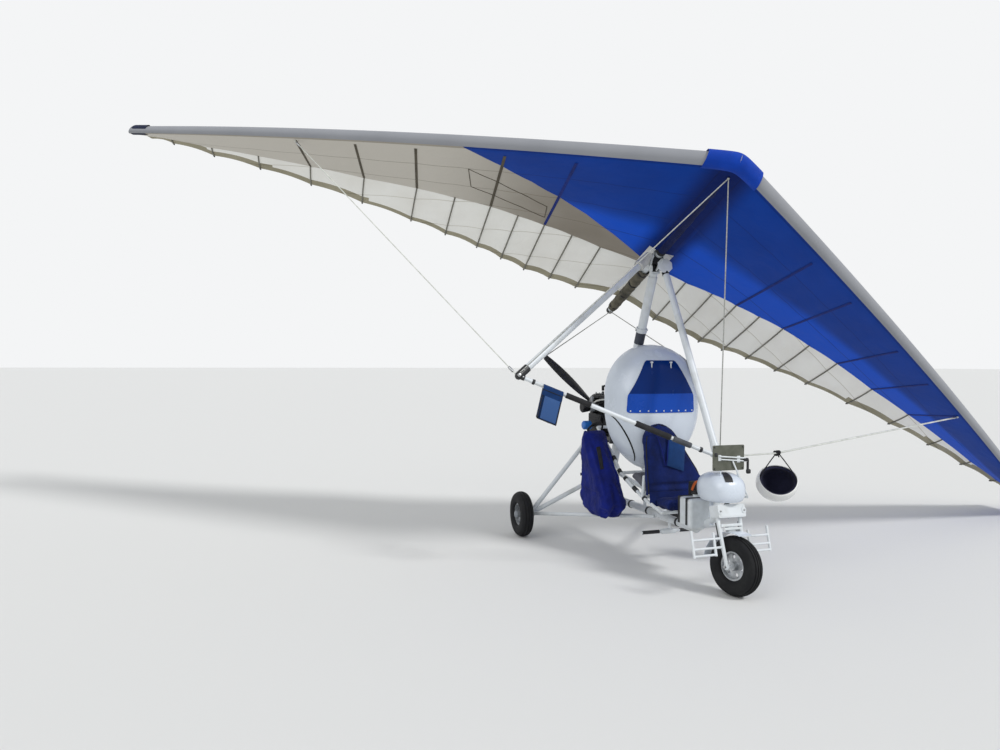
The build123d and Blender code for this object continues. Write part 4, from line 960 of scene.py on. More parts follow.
def crumple(obj, size, depth):
    """Soft creases of a real size, pushed in and out along the surface."""
    folds = bpy.data.textures.new("folds", "CLOUDS")
    folds.noise_scale = size
    folds.noise_depth = 2
    modify(obj, "DISPLACE", texture=folds, strength=depth, mid_level=0.5, texture_coords="LOCAL")


def sew(obj, away, width, depth):
    """Draws the skin in along a seam; away gives a point's distance from the seam."""
    normals = [v.normal.copy() for v in obj.data.vertices]
    for v, normal in zip(obj.data.vertices, normals):
        d = away(v.co)
        if d < width:
            v.co -= normal * depth * math.cos(math.pi * d / (2 * width)) ** 2


def on_skin(obj, point, lift):
    """Nearest place on a piece's skin to a point, lifted off it by a small distance."""
    _, where, normal, _ = obj.closest_point_on_mesh(point)
    return where + normal * lift


def off_line(point, a, b):
    """Distance of a point from a straight seam between two others."""
    run = b - a
    t = max(0.0, min(1.0, (point - a).dot(run) / run.length_squared))
    return (point - a - run * t).length


def cloth_patch(corners, columns, rows, bulge, out):
    """Patch of cloth over four corners, swollen in its middle towards a direction."""
    a, b, c, d = (Vector(p) for p in corners)
    grid = []
    for i in range(rows + 1):
        v = i / rows
        row = []
        for j in range(columns + 1):
            u = j / columns
            p = a * (1 - u) * (1 - v) + b * u * (1 - v) + c * u * v + d * (1 - u) * v
            row.append(p + out * bulge * (math.sin(math.pi * u) * math.sin(math.pi * v)) ** 0.5)
        grid.append(row)
    return sheet_mesh("patch", grid)


# Fairing

FAIR_HALF, FAIR_TOP, FAIR_SIDE, FAIR_FOOT, FAIR_FOOT_R = 0.392, 1.313, 1.2, 0.69, 0.25
FAIR_MID = 1.215
FAIR_RIM_Y, FAIR_DEEP = 0.02, 0.303
FOLD_Z = 1.315
WINDOW_X = -0.030


def fairing_half(z):
    """Half the rim's width at a height: round top, straight sides and a foot drawn in by two arcs."""
    low = FAIR_FOOT + FAIR_FOOT_R
    big = (FAIR_HALF ** 2 + (FAIR_SIDE - low) ** 2 - FAIR_FOOT_R ** 2) / (2 * (FAIR_HALF - FAIR_FOOT_R))
    across, down = big - FAIR_HALF, FAIR_SIDE - low
    join = low - down / math.hypot(across, down) * FAIR_FOOT_R
    if z >= FAIR_TOP:
        return math.sqrt(max(0.0, FAIR_HALF ** 2 - (z - FAIR_TOP) ** 2))
    if z >= FAIR_SIDE:
        return FAIR_HALF
    if z >= join:
        return FAIR_HALF - big + math.sqrt(big ** 2 - (FAIR_SIDE - z) ** 2)
    return math.sqrt(max(0.0, FAIR_FOOT_R ** 2 - (low - z) ** 2))


def fairing_reach(angle):
    """Distance from the fairing's middle to its rim in a direction."""
    near, far = 0.0, 0.8
    for _ in range(30):
        mid = (near + far) / 2
        x, z = mid * math.cos(angle), FAIR_MID + mid * math.sin(angle)
        if FAIR_FOOT < z < FAIR_TOP + FAIR_HALF and abs(x) < fairing_half(z):
            near = mid
        else:
            far = mid
    return near


def fairing_front(x, z):
    """Depth of the fairing's skin at a place on its front."""
    share = math.hypot(x, z - FAIR_MID) / fairing_reach(math.atan2(z - FAIR_MID, x))
    return FAIR_RIM_Y - FAIR_DEEP * (1 - min(1.0, share) ** 3.3) ** (1 / 2.6)


def build_fairing():
    """Moulded shell, the window riveted on it, and the bracket that holds it to the mast."""
    reach = [fairing_reach(2 * math.pi * j / 96) for j in range(96)]
    rings = []
    for k in range(19):
        a = math.pi / 2 * (k / 18) ** 1.2
        share, deep = max(0.0, math.cos(a)) ** (2 / 3.3), math.sin(a) ** (2 / 2.6)
        rings.append([(share * r * math.cos(2 * math.pi * j / 96), FAIR_RIM_Y - FAIR_DEEP * deep,
                       FAIR_MID + share * r * math.sin(2 * math.pi * j / 96)) for j, r in enumerate(reach)])
    shell = sheet_mesh("fairing_shell", rings, closed=True)
    outward(shell)
    piece(shell, "fairing_shell", ON_TRIKE, "gelcoat", ("fairing",), angle=50, wall=0.005, offset=-1)

    outline = [(1.166, 0.268), (1.171, 0.282), (1.185, 0.287), (1.23, 0.284), (1.28, 0.282), (1.303, 0.279),
               (FOLD_Z, 0.273), (1.35, 0.254), (1.39, 0.231), (1.43, 0.2095), (1.47, 0.187), (1.51, 0.165),
               (1.545, 0.145), (1.565, 0.131), (1.575, 0.116)]
    rows = []
    for z, half in outline:
        across = [WINDOW_X + half * (j / 9 - 1) for j in range(19)]
        rows.append([(x, fairing_front(x, z) - 0.003, z) for x in across])
    window = sheet_mesh("window", rows)
    window.data.materials.append(FINISH["blue sheet"])
    window.data.materials.append(FINISH["shaded blue sheet"])
    # above the fold the window takes the darker copy of its sheet: painted shade
    for face in window.data.polygons:
        face.material_index = 1 if face.center.z > FOLD_Z else 0
    outward(window)
    piece(window, "window_sheet", ON_TRIKE, None, ("fairing_window",), angle=40, wall=0.003)

    rivets = []
    for k in range(9):
        x = WINDOW_X - 0.262 + 0.0655 * k
        rivets.append(spin([(-0.0035, 0), (-0.003, 0.003), (0, 0.0062), (0.0025, 0.0065)],
                           (x, fairing_front(x, 1.181) - 0.0055, 1.181), "Y", 12))
    for x in (WINDOW_X - 0.087, WINDOW_X + 0.077):
        y = fairing_front(x, 1.54) - 0.009
        rivets.append(rod((x, y, 1.565), (x, y, 1.503), 0.0045, 0.001, 12))
        rivets.append(rod((x, y + 0.012, 1.560), (x, y - 0.012, 1.560), 0.007, 0.001, 12))
    piece(rivets, "window_rivets", ON_TRIKE, "tank plastic")

    piece([block((-0.022, 0.004, 1.672), (0.022, 0.157, 1.702), 0.004),
           block((-0.045, 0.000, 1.655), (0.045, 0.008, 1.700), 0.003)],
          "fairing_bracket", ON_TRIKE, "grey paint")

    # thin dark band laid across the fairing's lower left front
    line = []
    for k in range(13):
        x, z = -0.384 + 0.205 * k / 12, 1.146 - 0.372 * k / 12
        y = fairing_front(x, z) - 0.0035
        line.append([(x - 0.006, y, z - 0.004), (x + 0.006, y - 0.001, z + 0.004)])
    strap = sheet_mesh("strap", line)
    piece(strap, "fairing_dark_band", ON_TRIKE, "black webbing", wall=0.003)


# Seats and bags

SEAT_BACK = Matrix.Translation((0, -0.398, 0.536)) @ turn(-6, "X")


def build_front_seat():
    """Slumped padded back with its map pocket, and the cushion it stands behind."""
    pad = soft_copy("front_seat", 0.006, 0.010)
    inflate(pad, 0.014)
    crumple(pad, 0.075, 0.012)
    place = TRIKE @ SEAT_BACK
    a, b = moved(place, (-0.250, -0.04, 0.085), (0.250, -0.04, 0.085))
    sew(pad, lambda p: off_line(p, a, b), 0.03, 0.012)
    c, d = moved(place, (-0.205, -0.04, 0.46), (0.03, -0.04, 0.46))
    sew(pad, lambda p: off_line(p, c, d), 0.02, 0.006)
    smooth(pad, 60)
    hand_over(pad, "front_seat_pad", "tricycle", "seat nylon", ("front_seat",))

    rim = [(-0.250, 0.02), (-0.262, 0.22), (-0.262, 0.40), (-0.240, 0.515), (-0.165, 0.575), (-0.09, 0.570),
           (-0.01, 0.530), (0.052, 0.470), (0.15, 0.305), (0.252, 0.140), (0.252, 0.02)]
    welt = flex([on_skin(pad, place @ Vector((x * 0.97, -0.045, z)), 0.001) for x, z in rim], 0.0045, sides=12)
    smooth(welt)
    hand_over(welt, "front_seat_welt", "tricycle", "black webbing")

    back = Vector((0, -1, 0))
    pocket = cloth_patch([(-0.083, -0.050, 0.235), (0.062, -0.050, 0.185), (0.090, -0.048, 0.405),
                          (-0.058, -0.048, 0.445)], 14, 14, 0.016, back)
    piece(pocket, "map_pocket", (place, "tricycle"), "pocket nylon", angle=60, wall=0.003)
    piece([flex([(-0.060, -0.054, 0.446), (0.015, -0.070, 0.428), (0.092, -0.054, 0.405)], 0.004, sides=8),
           flex([(-0.086, -0.054, 0.234), (-0.070, -0.062, 0.34), (-0.060, -0.054, 0.446)], 0.0035, sides=8),
           flex([(-0.150, -0.047, 0.455), (-0.115, -0.052, 0.36), (-0.095, -0.052, 0.235)], 0.0035, sides=8)],
          "map_pocket_trim", (place, "tricycle"), "navy nylon")

    rows = []
    for k in range(9):
        drop = k / 8
        rows.append([(-0.236 + (0.372 - 0.028 * drop) * j / 16, -0.044 - 0.006 * math.sin(j * 0.9) * drop,
                      0.040 - (0.098 + 0.012 * math.sin(j * 0.42)) * drop) for j in range(17)])
    skirt = sheet_mesh("skirt", rows)
    piece(skirt, "seat_skirt", (place, "tricycle"), "seat nylon", angle=60, wall=0.004)

    pouch = block((-0.030, -0.700, 0.525), (0.100, -0.628, 0.690), 0.020, 4)
    modify(pouch, "SUBSURF", levels=1, render_levels=1)
    edge = flex([(-0.036, -0.700, 0.630), (-0.024, -0.706, 0.678), (0.010, -0.708, 0.698), (0.060, -0.706, 0.692)],
                0.009, sides=12)
    for obj, name, finish in ((pouch, "strap_pouch", "black webbing"), (edge, "strap_pouch_edge", "orange tape")):
        piece(obj, name, ON_TRIKE, finish, angle=60)


def build_rear_seat():
    """Grey cushion with two sewn channels across it."""
    pad = soft_copy("rear_seat", 0.006, 0.006)
    inflate(pad, 0.012)
    for y in (-0.06, -0.20):
        z = 0.655 + (0.52 - 0.655) * (0.06 - y) / 0.373 + 0.055
        a, b = moved(TRIKE, (-0.2, y, z), (0.2, y, z))
        sew(pad, lambda p: off_line(p, a, b), 0.022, 0.012)
    crumple(pad, 0.06, 0.004)
    smooth(pad, 60)
    hand_over(pad, "rear_seat_pad", "tricycle", "grey vinyl", ("rear_seat",))


def build_pannier():
    """Full bag beside the rear seat, its foot parted in two lobes, with zip, handle and straps."""
    bag = soft_copy("pannier", 0.006, 0.009)
    inflate(bag, 0.016)
    crumple(bag, 0.10, 0.020)
    for a, b, width, depth in (
            ((-0.335, -0.13, 0.40), (-0.345, -0.06, 0.575), 0.046, 0.030),
            ((-0.335, -0.12, 0.42), (-0.335, 0.02, 0.27), 0.046, 0.034),
            ((-0.335, 0.02, 0.27), (-0.335, 0.30, 0.27), 0.046, 0.026),
            ((-0.45, -0.06, 0.54), (-0.25, -0.06, 0.60), 0.030, 0.012),
            ((-0.43, 0.02, 0.74), (-0.30, -0.07, 0.57), 0.022, 0.008),
            ((-0.45, 0.42, 0.50), (-0.45, -0.06, 0.50), 0.024, 0.008)):
        a, b = moved(TRIKE, a, b)
        sew(bag, lambda p: off_line(p, a, b), width, depth)
    smooth(bag, 60)
    hand_over(bag, "pannier_bag", "tricycle", "navy nylon", ("pannier",))

    line = [Vector((-0.375, 0.176 - 0.101 * k / 8, 0.860 - 0.175 * k / 8)) for k in range(9)]
    zips = [flex([on_skin(bag, TRIKE @ (p + Vector((x, 0, 0))), 0.001) - DATUM for p in line], 0.011, sides=12)
            for x in (-0.009, 0.009)]
    handle = [(-0.30, 0.26, 1.00), (-0.30, 0.22, 1.045), (-0.35, 0.30, 1.06), (-0.38, 0.36, 0.99)]
    zips.append(flex(handle, 0.008, sides=12))
    for z, y in ((0.60, 0.425), (0.78, 0.427)):
        zips.append(block((-0.42, y - 0.002, z - 0.012), (-0.25, y + 0.004, z + 0.012), 0.0015, 2))
    piece(zips, "pannier_straps", ON_TRIKE, "black webbing")


def on_bar(x):
    """Point on the control bar's line at a distance from its middle, in the wing's place."""
    return Vector((BAR_X + x, BAR_Y, BAR_Z))


def upright_head(side):
    """Middle of an upright's top bolt, in the wing's place."""
    return Vector((side * 0.074, -0.078, 0.013))


BAG_SHORT = 0.9


def build_bar_bag():
    """Blue bag slung under the bar: lid, black bound edges and a clear pocket in front."""
    bag = soft_copy("bar_bag", 0.004, 0.004)
    place = WING @ Matrix.Translation(on_bar(-0.655 * BAR_HALF)) @ turn(22, "X")
    back = place.inverted()
    for v in bag.data.vertices:
        local = back @ v.co
        local.z *= BAG_SHORT
        v.co = place @ local
    inflate(bag, 0.007)
    crumple(bag, 0.04, 0.005)
    smooth(bag, 60)
    hand_over(bag, "bar_bag_soft", "wing", "bag nylon", ("bar_bag",))

    place = place @ Matrix.Diagonal((1, 1, BAG_SHORT, 1))
    front, rear = -0.0345, 0.0345

    def edge(x, z):
        return x + 0.036 * (-0.0143 - z) / 0.2357, z

    corners = [edge(-0.070, -0.020), edge(0.070, -0.020), edge(0.070, -0.245), edge(-0.070, -0.245)]
    lines = []
    for y in (front, rear):
        for (x0, z0), (x1, z1) in zip(corners, corners[1:] + corners[:1]):
            lines.append(flex([(x0, y, z0), ((x0 + x1) / 2, y * 1.12, (z0 + z1) / 2), (x1, y, z1)], 0.0035, sides=8))
    for x, z in corners:
        lines.append(rod((x, front, z), (x, rear, z), 0.0035, sides=8))
    piece(lines, "bar_bag_binding", (place, "wing"), "black webbing")

    spots = [(-0.052, -0.235), (0.062, -0.235), (0.062, -0.062), (-0.052, -0.062)]
    panel = cloth_patch([(edge(x, z)[0], front - 0.004, z) for x, z in spots], 10, 12, 0.006, Vector((0, -1, 0)))
    piece(panel, "bar_bag_pocket", (place, "wing"), "clear blue", angle=60, wall=0.0015)

    rows = []
    for k in range(9):
        a = math.radians(-75 + 200 * k / 8)
        y, z = -0.030 * math.sin(a) - 0.004, 0.020 * math.cos(a) - 0.004
        if k >= 7:
            y, z = front - 0.004, -0.030 - 0.016 * (k - 6)
        rows.append([(edge(-0.074 + 0.148 * j / 10, z)[0], y, z) for j in range(11)])
    lid = sheet_mesh("lid", rows)
    piece(lid, "bar_bag_lid", (place, "wing"), "bag nylon", angle=60, wall=0.002)


# Control frame

def build_control_bar():
    """Foam and tape sleeves, the clamps beside them and the bolts of the corner knuckles."""
    half = BAR_HALF
    sleeves = [("grip_right", -0.53 * half, -0.283 * half, 0.020, "foam"),
               ("grip_left", 0.167 * half, 0.521 * half, 0.021, "foam"),
               ("grip_wrapped", 0.544 * half, 0.728 * half, 0.020, "grey foam"),
               ("band_left", half - 0.141, half - 0.121, 0.019, "black plastic"),
               ("band_right", 0.103 - half, 0.122 - half, 0.019, "black plastic")]
    for name, a, b, outer, finish in sleeves:
        obj = sleeve(on_bar(a), on_bar(b), 0.0141, outer, 0.003, 32)
        if finish in ("foam", "grey foam"):
            ribs = [sleeve(on_bar(x - 0.002), on_bar(x + 0.002), outer - 0.002, outer + 0.0008)
                    for x in (a + (b - a) * 0.06, a + (b - a) * 0.94)]
            obj = join([obj, *ribs])
        piece(obj, name, ON_WING, finish, ("grips",) if name == "grip_left" else ())

    bolts = []
    for side in (-1, 1):
        foot = on_bar(side * half)
        up = (upright_head(side) - foot).normalized()
        for at, reach, radius, bevel, sides in (
                (foot, 0.034, 0.0075, 0.0015, 6), (foot, 0.031, 0.012, 0.001, 20),
                (foot + up * 0.055, 0.034, 0.0055, 0.001, 6),
                (on_bar(side * (half - 0.030)), 0.022, 0.0055, 0.001, 6)):
            through = Vector((0, reach, 0))
            bolts.append(rod(at - through, at + through, radius, bevel, sides))
    piece(bolts, "corner_bolts", ON_WING, "steel")


# Wheels

def tyre_profile(grooves):
    """Closed outline of a tyre's section, with grooves cut round its tread."""
    def crown(x):
        return 0.2 - 0.067 + math.sqrt(0.067 ** 2 - x * x)
    side = [(-0.0335, 0.0962), (-0.044, 0.100), (-0.0510, 0.108), (-0.0538, 0.120), (-0.0542, 0.145), (-0.0530, 0.172)]
    tread = []
    for x in grooves:
        r = crown(x)
        tread += [(x - 0.0042, crown(x - 0.0042)), (x - 0.0028, r - 0.006), (x + 0.0028, r - 0.006),
                  (x + 0.0042, crown(x + 0.0042))]
    fill = [(x, crown(x)) for x in (-0.049, -0.043, 0.043, 0.049)]
    tread = sorted(tread + fill, key=lambda p: p[0])
    outline = side + tread + [(-x, r) for x, r in reversed(side)]
    return outline + [(0.030, 0.0962), (-0.030, 0.0962), outline[0]]


def build_wheels():
    """Ribbed tyres, hub caps, nuts and valves."""
    places = [("nose", "nose_wheel", LEG, (-0.033, -0.0165, 0.0, 0.0165, 0.033)),
              ("right", "main_wheel_right", Matrix.Translation(AXLE_RIGHT), (-0.025, 0.0, 0.025)),
              ("left", "main_wheel_left", Matrix.Translation(AXLE), (-0.025, 0.0, 0.025))]
    for name, body, place, grooves in places:
        obj = spin(tyre_profile(grooves), (0, 0, 0), "X", 72)
        piece(obj, f"tyre_{name}_tread", (place, body), "tyre",
              ("nose_tyre" if name == "nose" else f"tyre_{name}",), angle=30)
        side = 1 if name == "left" else -1
        fittings = []
        for y, z in circle(6, 0.074, 30):
            fittings.append(rod((side * 0.004, y, z), (side * 0.013, y, z), 0.0065, 0.0012, 6))
        fittings.append(rod((side * 0.004, 0, 0.082), (side * 0.036, 0, 0.088), 0.0042, 0.001, 12))
        piece(fittings, f"wheel_{name}_nuts", (place, body), "steel")
        if name != "nose":
            cap = spin([(side * 0.0665, 0.0), (side * 0.066, 0.014), (side * 0.062, 0.026), (side * 0.052, 0.033),
                        (side * 0.0465, 0.034), (side * 0.0465, 0.012)], (0, 0, 0), "X", 40)
            piece(cap, f"hub_cap_{name}", (place, body), "hub grey")


# Nose of the tricycle

POD_PLACE = Vector((0, -1.003, 0.690))


def pod_point(u, v, lift=0.0):
    """Point on the pod's skin by two angles in degrees: u round the vertical from the left, v up."""
    a, b = math.radians(u), math.radians(v)
    n = Vector((math.cos(a) * math.cos(b), math.sin(a) * math.cos(b), math.sin(b)))
    k = 1 / (sum(abs(c) ** 2.5 for c in n)) ** (1 / 2.5)
    p = Vector((n.x * k * (0.142 + lift), n.y * k * (0.168 + lift), n.z * k * (0.118 + lift)))
    return POD_PLACE + Vector((p.x, p.y, max(-0.074, p.z)))


def build_pod():
    """Moulded nose pod with its slanting vent, its post and the two arms of the screen."""
    rows = [[pod_point(5 * j, -90 + 6 * i) for j in range(72)] for i in range(31)]
    shell = sheet_mesh("pod_shell", rows, closed=True)
    outward(shell)
    foot = rod((0, -0.892, 0.415), (0, -0.892, 0.640), 0.014)
    arms = [rod((x, -1.0853, 0.730), (x, -1.0853, 0.985), 0.005, 0.001, 12) for x in (-0.060, 0.075)]
    piece([shell, foot, *arms], "pod_shell", ON_TRIKE, "gelcoat", ("pod",), angle=40)

    dark = sheet_mesh("vent", [[pod_point(257 - 0.3 * k + u * (7.0 - 0.35 * k), 74 - 4.7 * k, 0.002)
                                for u in (-3, -1, 1, 3)] for k in range(10)])
    piece(dark, "pod_vent", ON_TRIKE, "black plastic", wall=0.003)


def build_screen():
    """Scuffed smoked panel on two arms, with white bars, its screws and the stay in front."""
    panel = plate(0.248, 0.172, 0.003, 0.010, Matrix.Translation((-0.003, -1.092, 0.914)))
    piece(panel, "screen_panel", ON_TRIKE, "smoked", ("screen",))
    parts = [rod((-0.078, -1.0985, 0.926), (0.128, -1.0985, 0.908), 0.0055, 0.001, 14),
             rod((-0.066, -1.0985, 0.905), (0.150, -1.0985, 0.886), 0.0045, 0.001, 14),
             rod((0.024, -1.103, 0.890), (0.138, -1.118, 0.640), 0.0055, 0.001, 14),
             rod((0.138, -1.118, 0.640), (0.095, -1.060, 0.646), 0.0055, 0.001, 14),
             block((-0.085, -1.0975, 0.895), (-0.062, -1.0935, 0.935), 0.002),
             block((0.062, -1.0975, 0.880), (0.088, -1.0935, 0.925), 0.002)]
    piece(parts, "screen_bars", ON_TRIKE, "white paint")
    screws = [rod((x, -1.0965, z), (x, -1.0925, z), 0.006, 0.001, 12) for x in (-0.114, 0.108) for z in (0.842, 0.986)]
    piece([*screws,
           block((-0.112, -1.100, 0.925), (-0.092, -1.084, 0.950), 0.004),
           block((0.112, -1.106, 0.886), (0.150, -1.086, 0.908), 0.004),
           block((0.140, -1.106, 0.822), (0.154, -1.090, 0.900), 0.005),
           block((0.136, -1.110, 0.800), (0.168, -1.088, 0.832), 0.009)],
          "screen_clamps", ON_TRIKE, "black plastic")


def build_nose_fittings():
    """Bolt plate, brackets and springs on the nose leg, in the leg's own place."""
    white, dark, bright = [], [], []
    for side in (-1, 1):
        white.append(rod((side * 0.118, -0.0375, 0.362), (side * 0.118, -0.0415, 0.362), 0.022, 0.001, 28))
        bright.append(rod((side * 0.118, -0.0415, 0.362), (side * 0.118, -0.0485, 0.362), 0.008, 0.0015, 6))
        dark.append(rod((side * 0.112, 0.014, 0.290), (side * 0.095, 0.018, 0.110), 0.009, 0.002, 16))
        bright.append(rod((side * 0.073, 0, 0), (side * 0.118, 0, 0), 0.0085, 0.001, 6))
        white.append(block((side * 0.094 - 0.012, -0.012, 0.225), (side * 0.094 + 0.012, 0.030, 0.250), 0.003))
    white.append(block((-0.120, -0.0385, 0.326), (0.120, -0.0345, 0.342), 0.001))
    white.append(block((-0.085, -0.026, 0.236), (0.085, -0.022, 0.252), 0.001))
    dark.append(block((-0.020, -0.030, 0.350), (0.012, -0.018, 0.375), 0.003))
    dark.append(ring((0, 0, 0.362 + 0.047), (0, 0, 1), 0.014, 0.005, 24))
    bright.append(rod((0, 0, 0.405), (0, 0, 0.418), 0.013, 0.002, 6))
    for group, name, finish in ((white, "yoke_plates", "white paint"), (dark, "brake_and_stops", "black plastic"),
                                (bright, "nose_leg_bolts", "steel")):
        piece(group, name, ON_LEG, finish)


def rail_point(y):
    """Height of the seat rail at a depth."""
    stops = [(0.5, 0.992), (0.22, 0.8), (0.06, 0.655), (-0.313, 0.52), (-0.6, 0.455)]
    for (y1, z1), (y0, z0) in zip(stops[:-1], stops[1:]):
        if y >= y0:
            return z0 + (z1 - z0) * (y - y0) / (y1 - y0)
    return stops[-1][1]


def build_bands():
    """Clamps, straps and sleeves on the rails, mast, keel and tank."""
    dark, bright, white = [], [], []
    for side in (-1, 1):
        for a, b in ((0.190, 0.160), (0.085, 0.055), (-0.020, -0.050), (-0.170, -0.225), (-0.330, -0.350)):
            dark.append(sleeve((side * 0.225, a, rail_point(a)), (side * 0.225, b, rail_point(b)), 0.0131, 0.0185))
        white.append(sleeve((side * 0.225, -0.055, rail_point(-0.055)), (side * 0.225, -0.165, rail_point(-0.165)),
                            0.0131, 0.0172))
    # two webbing straps over the tank and the filler's cap
    for y in (-0.690, -0.790):
        dark.append(block((-0.139, y - 0.012, 0.590), (0.129, y + 0.012, 0.5935), 0.001, 1))
        for x in (-0.139, 0.1265):
            dark.append(block((x, y - 0.012, 0.400), (x + 0.0025, y + 0.012, 0.5935), 0.0008, 1))
    dark.append(spin([(0.606, 0.0), (0.606, 0.026), (0.609, 0.029), (0.624, 0.029), (0.629, 0.024), (0.631, 0.0)],
                     (-0.030, -0.734, 0.0), "Z", 32))
    # collar on the mast, where its upper stage slides in
    white.append(sleeve((0, mast_y(1.812), 1.812), (0, mast_y(1.846), 1.846), 0.0402, 0.047))
    bright.append(rod((-0.058, mast_y(1.829), 1.829), (0.058, mast_y(1.829), 1.829), 0.006, 0.001, 6))
    grey = [sleeve((0, mast_y(1.72), 1.72), (0, mast_y(1.812), 1.812), 0.0401, 0.0412)]
    # white foam and black ends on the rear foot bar
    white.append(sleeve((-0.070, -0.330, 0.250), (0.052, -0.330, 0.250), 0.0151, 0.021, 0.003))
    for x in (-0.236, 0.090):
        dark.append(sleeve((x, -0.330, 0.250), (x + 0.146, -0.330, 0.250), 0.0101, 0.014, 0.003))
    # clamps where the leg tubes meet the keel and the mast
    for y in (0.60, 0.30, 0.0, -0.45):
        dark.append(sleeve((0, y, 0.345), (0, y - 0.022, 0.345), 0.0301, 0.0345))
    for group, name, finish in ((dark, "clamps_and_straps", "black plastic"), (bright, "mast_bolt", "steel"),
                                (grey, "mast_sleeve", "grey sleeve"),
                                (white, "pale_sleeves", "white paint")):
        piece(group, name, ON_TRIKE, finish)


def mast_y(z):
    """Where the leaning mast's middle stands at a height."""
    return 0.778 + (-0.077 - 0.778) * (z - 0.345) / (2.315 - 0.345)


# Engine

def build_engine_fittings():
    """Starter, carburettor and its filter, plug caps, hoses and mounting rubbers."""
    dark, bright, pale, blue, rubber = [], [], [], [], []
    # recoil starter in front of the crankcase, with its slots
    dark.append(spin([(0.606, 0.0), (0.606, 0.030), (0.610, 0.036), (0.610, 0.078), (0.617, 0.088), (0.634, 0.0915),
                      (0.634, 0.0)], (0, 0, 1.010), "Y", 48))
    for c, s in circle(12):
        bright.append(rod((0.045 * c, 0.607, 1.010 + 0.045 * s), (0.074 * c, 0.6085, 1.010 + 0.074 * s), 0.0042, 0, 8))
    # carburettor on the right with its intake filter
    bright.append(rod((-0.070, 0.805, 1.150), (-0.135, 0.805, 1.150), 0.026, 0.003, 24))
    bright.append(block((-0.165, 0.780, 1.108), (-0.115, 0.830, 1.195), 0.008))
    bright.append(rod((-0.140, 0.805, 1.195), (-0.140, 0.805, 1.245), 0.019, 0.003, 20))
    dark.append(spin([(-0.165, 0.0), (-0.165, 0.030), (-0.172, 0.036), (-0.235, 0.047), (-0.243, 0.043), (-0.243, 0.0)],
                     (0, 0.805, 1.150), "X", 36))
    for c, s in circle(18):
        dark.append(rod((-0.176, 0.805 + 0.0375 * c, 1.150 + 0.0375 * s),
                        (-0.236, 0.805 + 0.0475 * c, 1.150 + 0.0475 * s), 0.003, 0, 6))
    # plug caps with their angled boots
    for y in (0.745, 0.865):
        dark.append(rod((0, y, 1.296), (0, y, 1.345), 0.0125, 0.003, 16))
        dark.append(rod((0, y, 1.335), (0.040, y - 0.012, 1.347), 0.010, 0.003, 14))
        for sx in (-1, 1):
            for deep in (y - 0.036, y + 0.036):
                bright.append(rod((sx * 0.052, deep, 1.270), (sx * 0.052, deep, 1.282), 0.007, 0.001, 6))
    # clear hose round the heads and the blue pulse filter low on the right
    pale.append(flex([(-0.128, 0.790, 1.185), (-0.150, 0.700, 1.215), (-0.060, 0.655, 1.228), (0.040, 0.665, 1.222),
                      (0.115, 0.720, 1.205), (0.121, 0.800, 1.180)], 0.0075, sides=16))
    blue.append(spin([(-0.235, 0.0), (-0.232, 0.030), (-0.222, 0.040), (-0.160, 0.040), (-0.150, 0.030), (-0.148, 0.0)],
                     (0, 0.800, 0.985), "X", 32))
    rubber.append(flex([(-0.118, 0.800, 0.985), (-0.160, 0.800, 0.985)], 0.012, order=2, sides=16))
    rubber.append(flex([(-0.185, 0.800, 0.945), (-0.185, 0.760, 0.905), (-0.130, 0.720, 0.925), (-0.100, 0.712, 0.950)],
                       0.008, sides=16))
    for sx in (-1, 1):
        for y in (0.700, 0.910):
            rubber.append(rod((sx * 0.095, y, 0.8995), (sx * 0.095, y, 0.9065), 0.028, 0.002, 28))
            bright.append(rod((sx * 0.128, y, 0.9065), (sx * 0.128, y, 0.918), 0.008, 0.001, 6))
    # belt cover's bolts and the crankcase's ribs
    for c, s in circle(8, 0.083, 22):
        bright.append(rod((c, 0.9845, 1.172 + s), (c, 0.990, 1.172 + s), 0.006, 0.001, 6))
    for z in (0.93, 0.955, 0.98, 1.03, 1.055):
        dark.append(block((-0.124, 0.700, z - 0.003), (0.124, 0.915, z + 0.003), 0.002, 1))
    for group, name, finish in ((dark, "starter_and_filter", "engine black"), (bright, "carburettor", "cast metal"),
                                (pale, "pale_hose", "silicone"), (blue, "pulse_filter", "blue plastic"),
                                (rubber, "engine_rubbers", "rubber hose")):
        piece(group, name, ON_TRIKE, finish)
    # round plate with its bolts on the propeller's hub
    plate_disc = spin([(-0.0345, 0.0), (-0.0345, 0.043), (-0.029, 0.046), (-0.0285, 0.020), (-0.0285, 0.0)],
                      (0, 0, 0), "Y", 40)
    bolts = [rod((c, -0.033, s), (c, -0.041, s), 0.0055, 0.001, 6) for c, s in circle(6, 0.030)]
    piece([plate_disc, *bolts], "propeller_plate", (PROP, "propeller"), "cast metal")


# Helmet

HELMET = Vector((0.668, -0.742, 0.658))
HELMET_R = 0.147
HELMET_OPEN = Vector((-0.36, -0.72, 0.59))
HELMET_DROP = 0.040


def helmet_hook():
    """Point where the helmet's straps pull the left cables down, in the row's frame."""
    a, b = wing_wire_ends()
    share = ((TRIKE @ HELMET).x - 0.045 - a.x) / (b.x - a.x)
    return a + (b - a) * share - Vector((0, 0, HELMET_DROP))


def helmet_bowl(high, outer, wall):
    """Bowl with a rolled rim, open along its own Z axis, up to an angle from its closed end."""
    profile = []
    for k in range(19):
        a = math.radians(high * k / 18)
        profile.append((-outer * math.cos(a), outer * math.sin(a)))
    a = math.radians(high + 2.5)
    profile.append((-(outer - wall / 2) * math.cos(a), (outer - wall / 2) * math.sin(a)))
    for k in range(19):
        a = math.radians(high - high * k / 18)
        profile.append((-(outer - wall) * math.cos(a), (outer - wall) * math.sin(a)))
    return spin(profile, (0, 0, 0), "Z", 72)


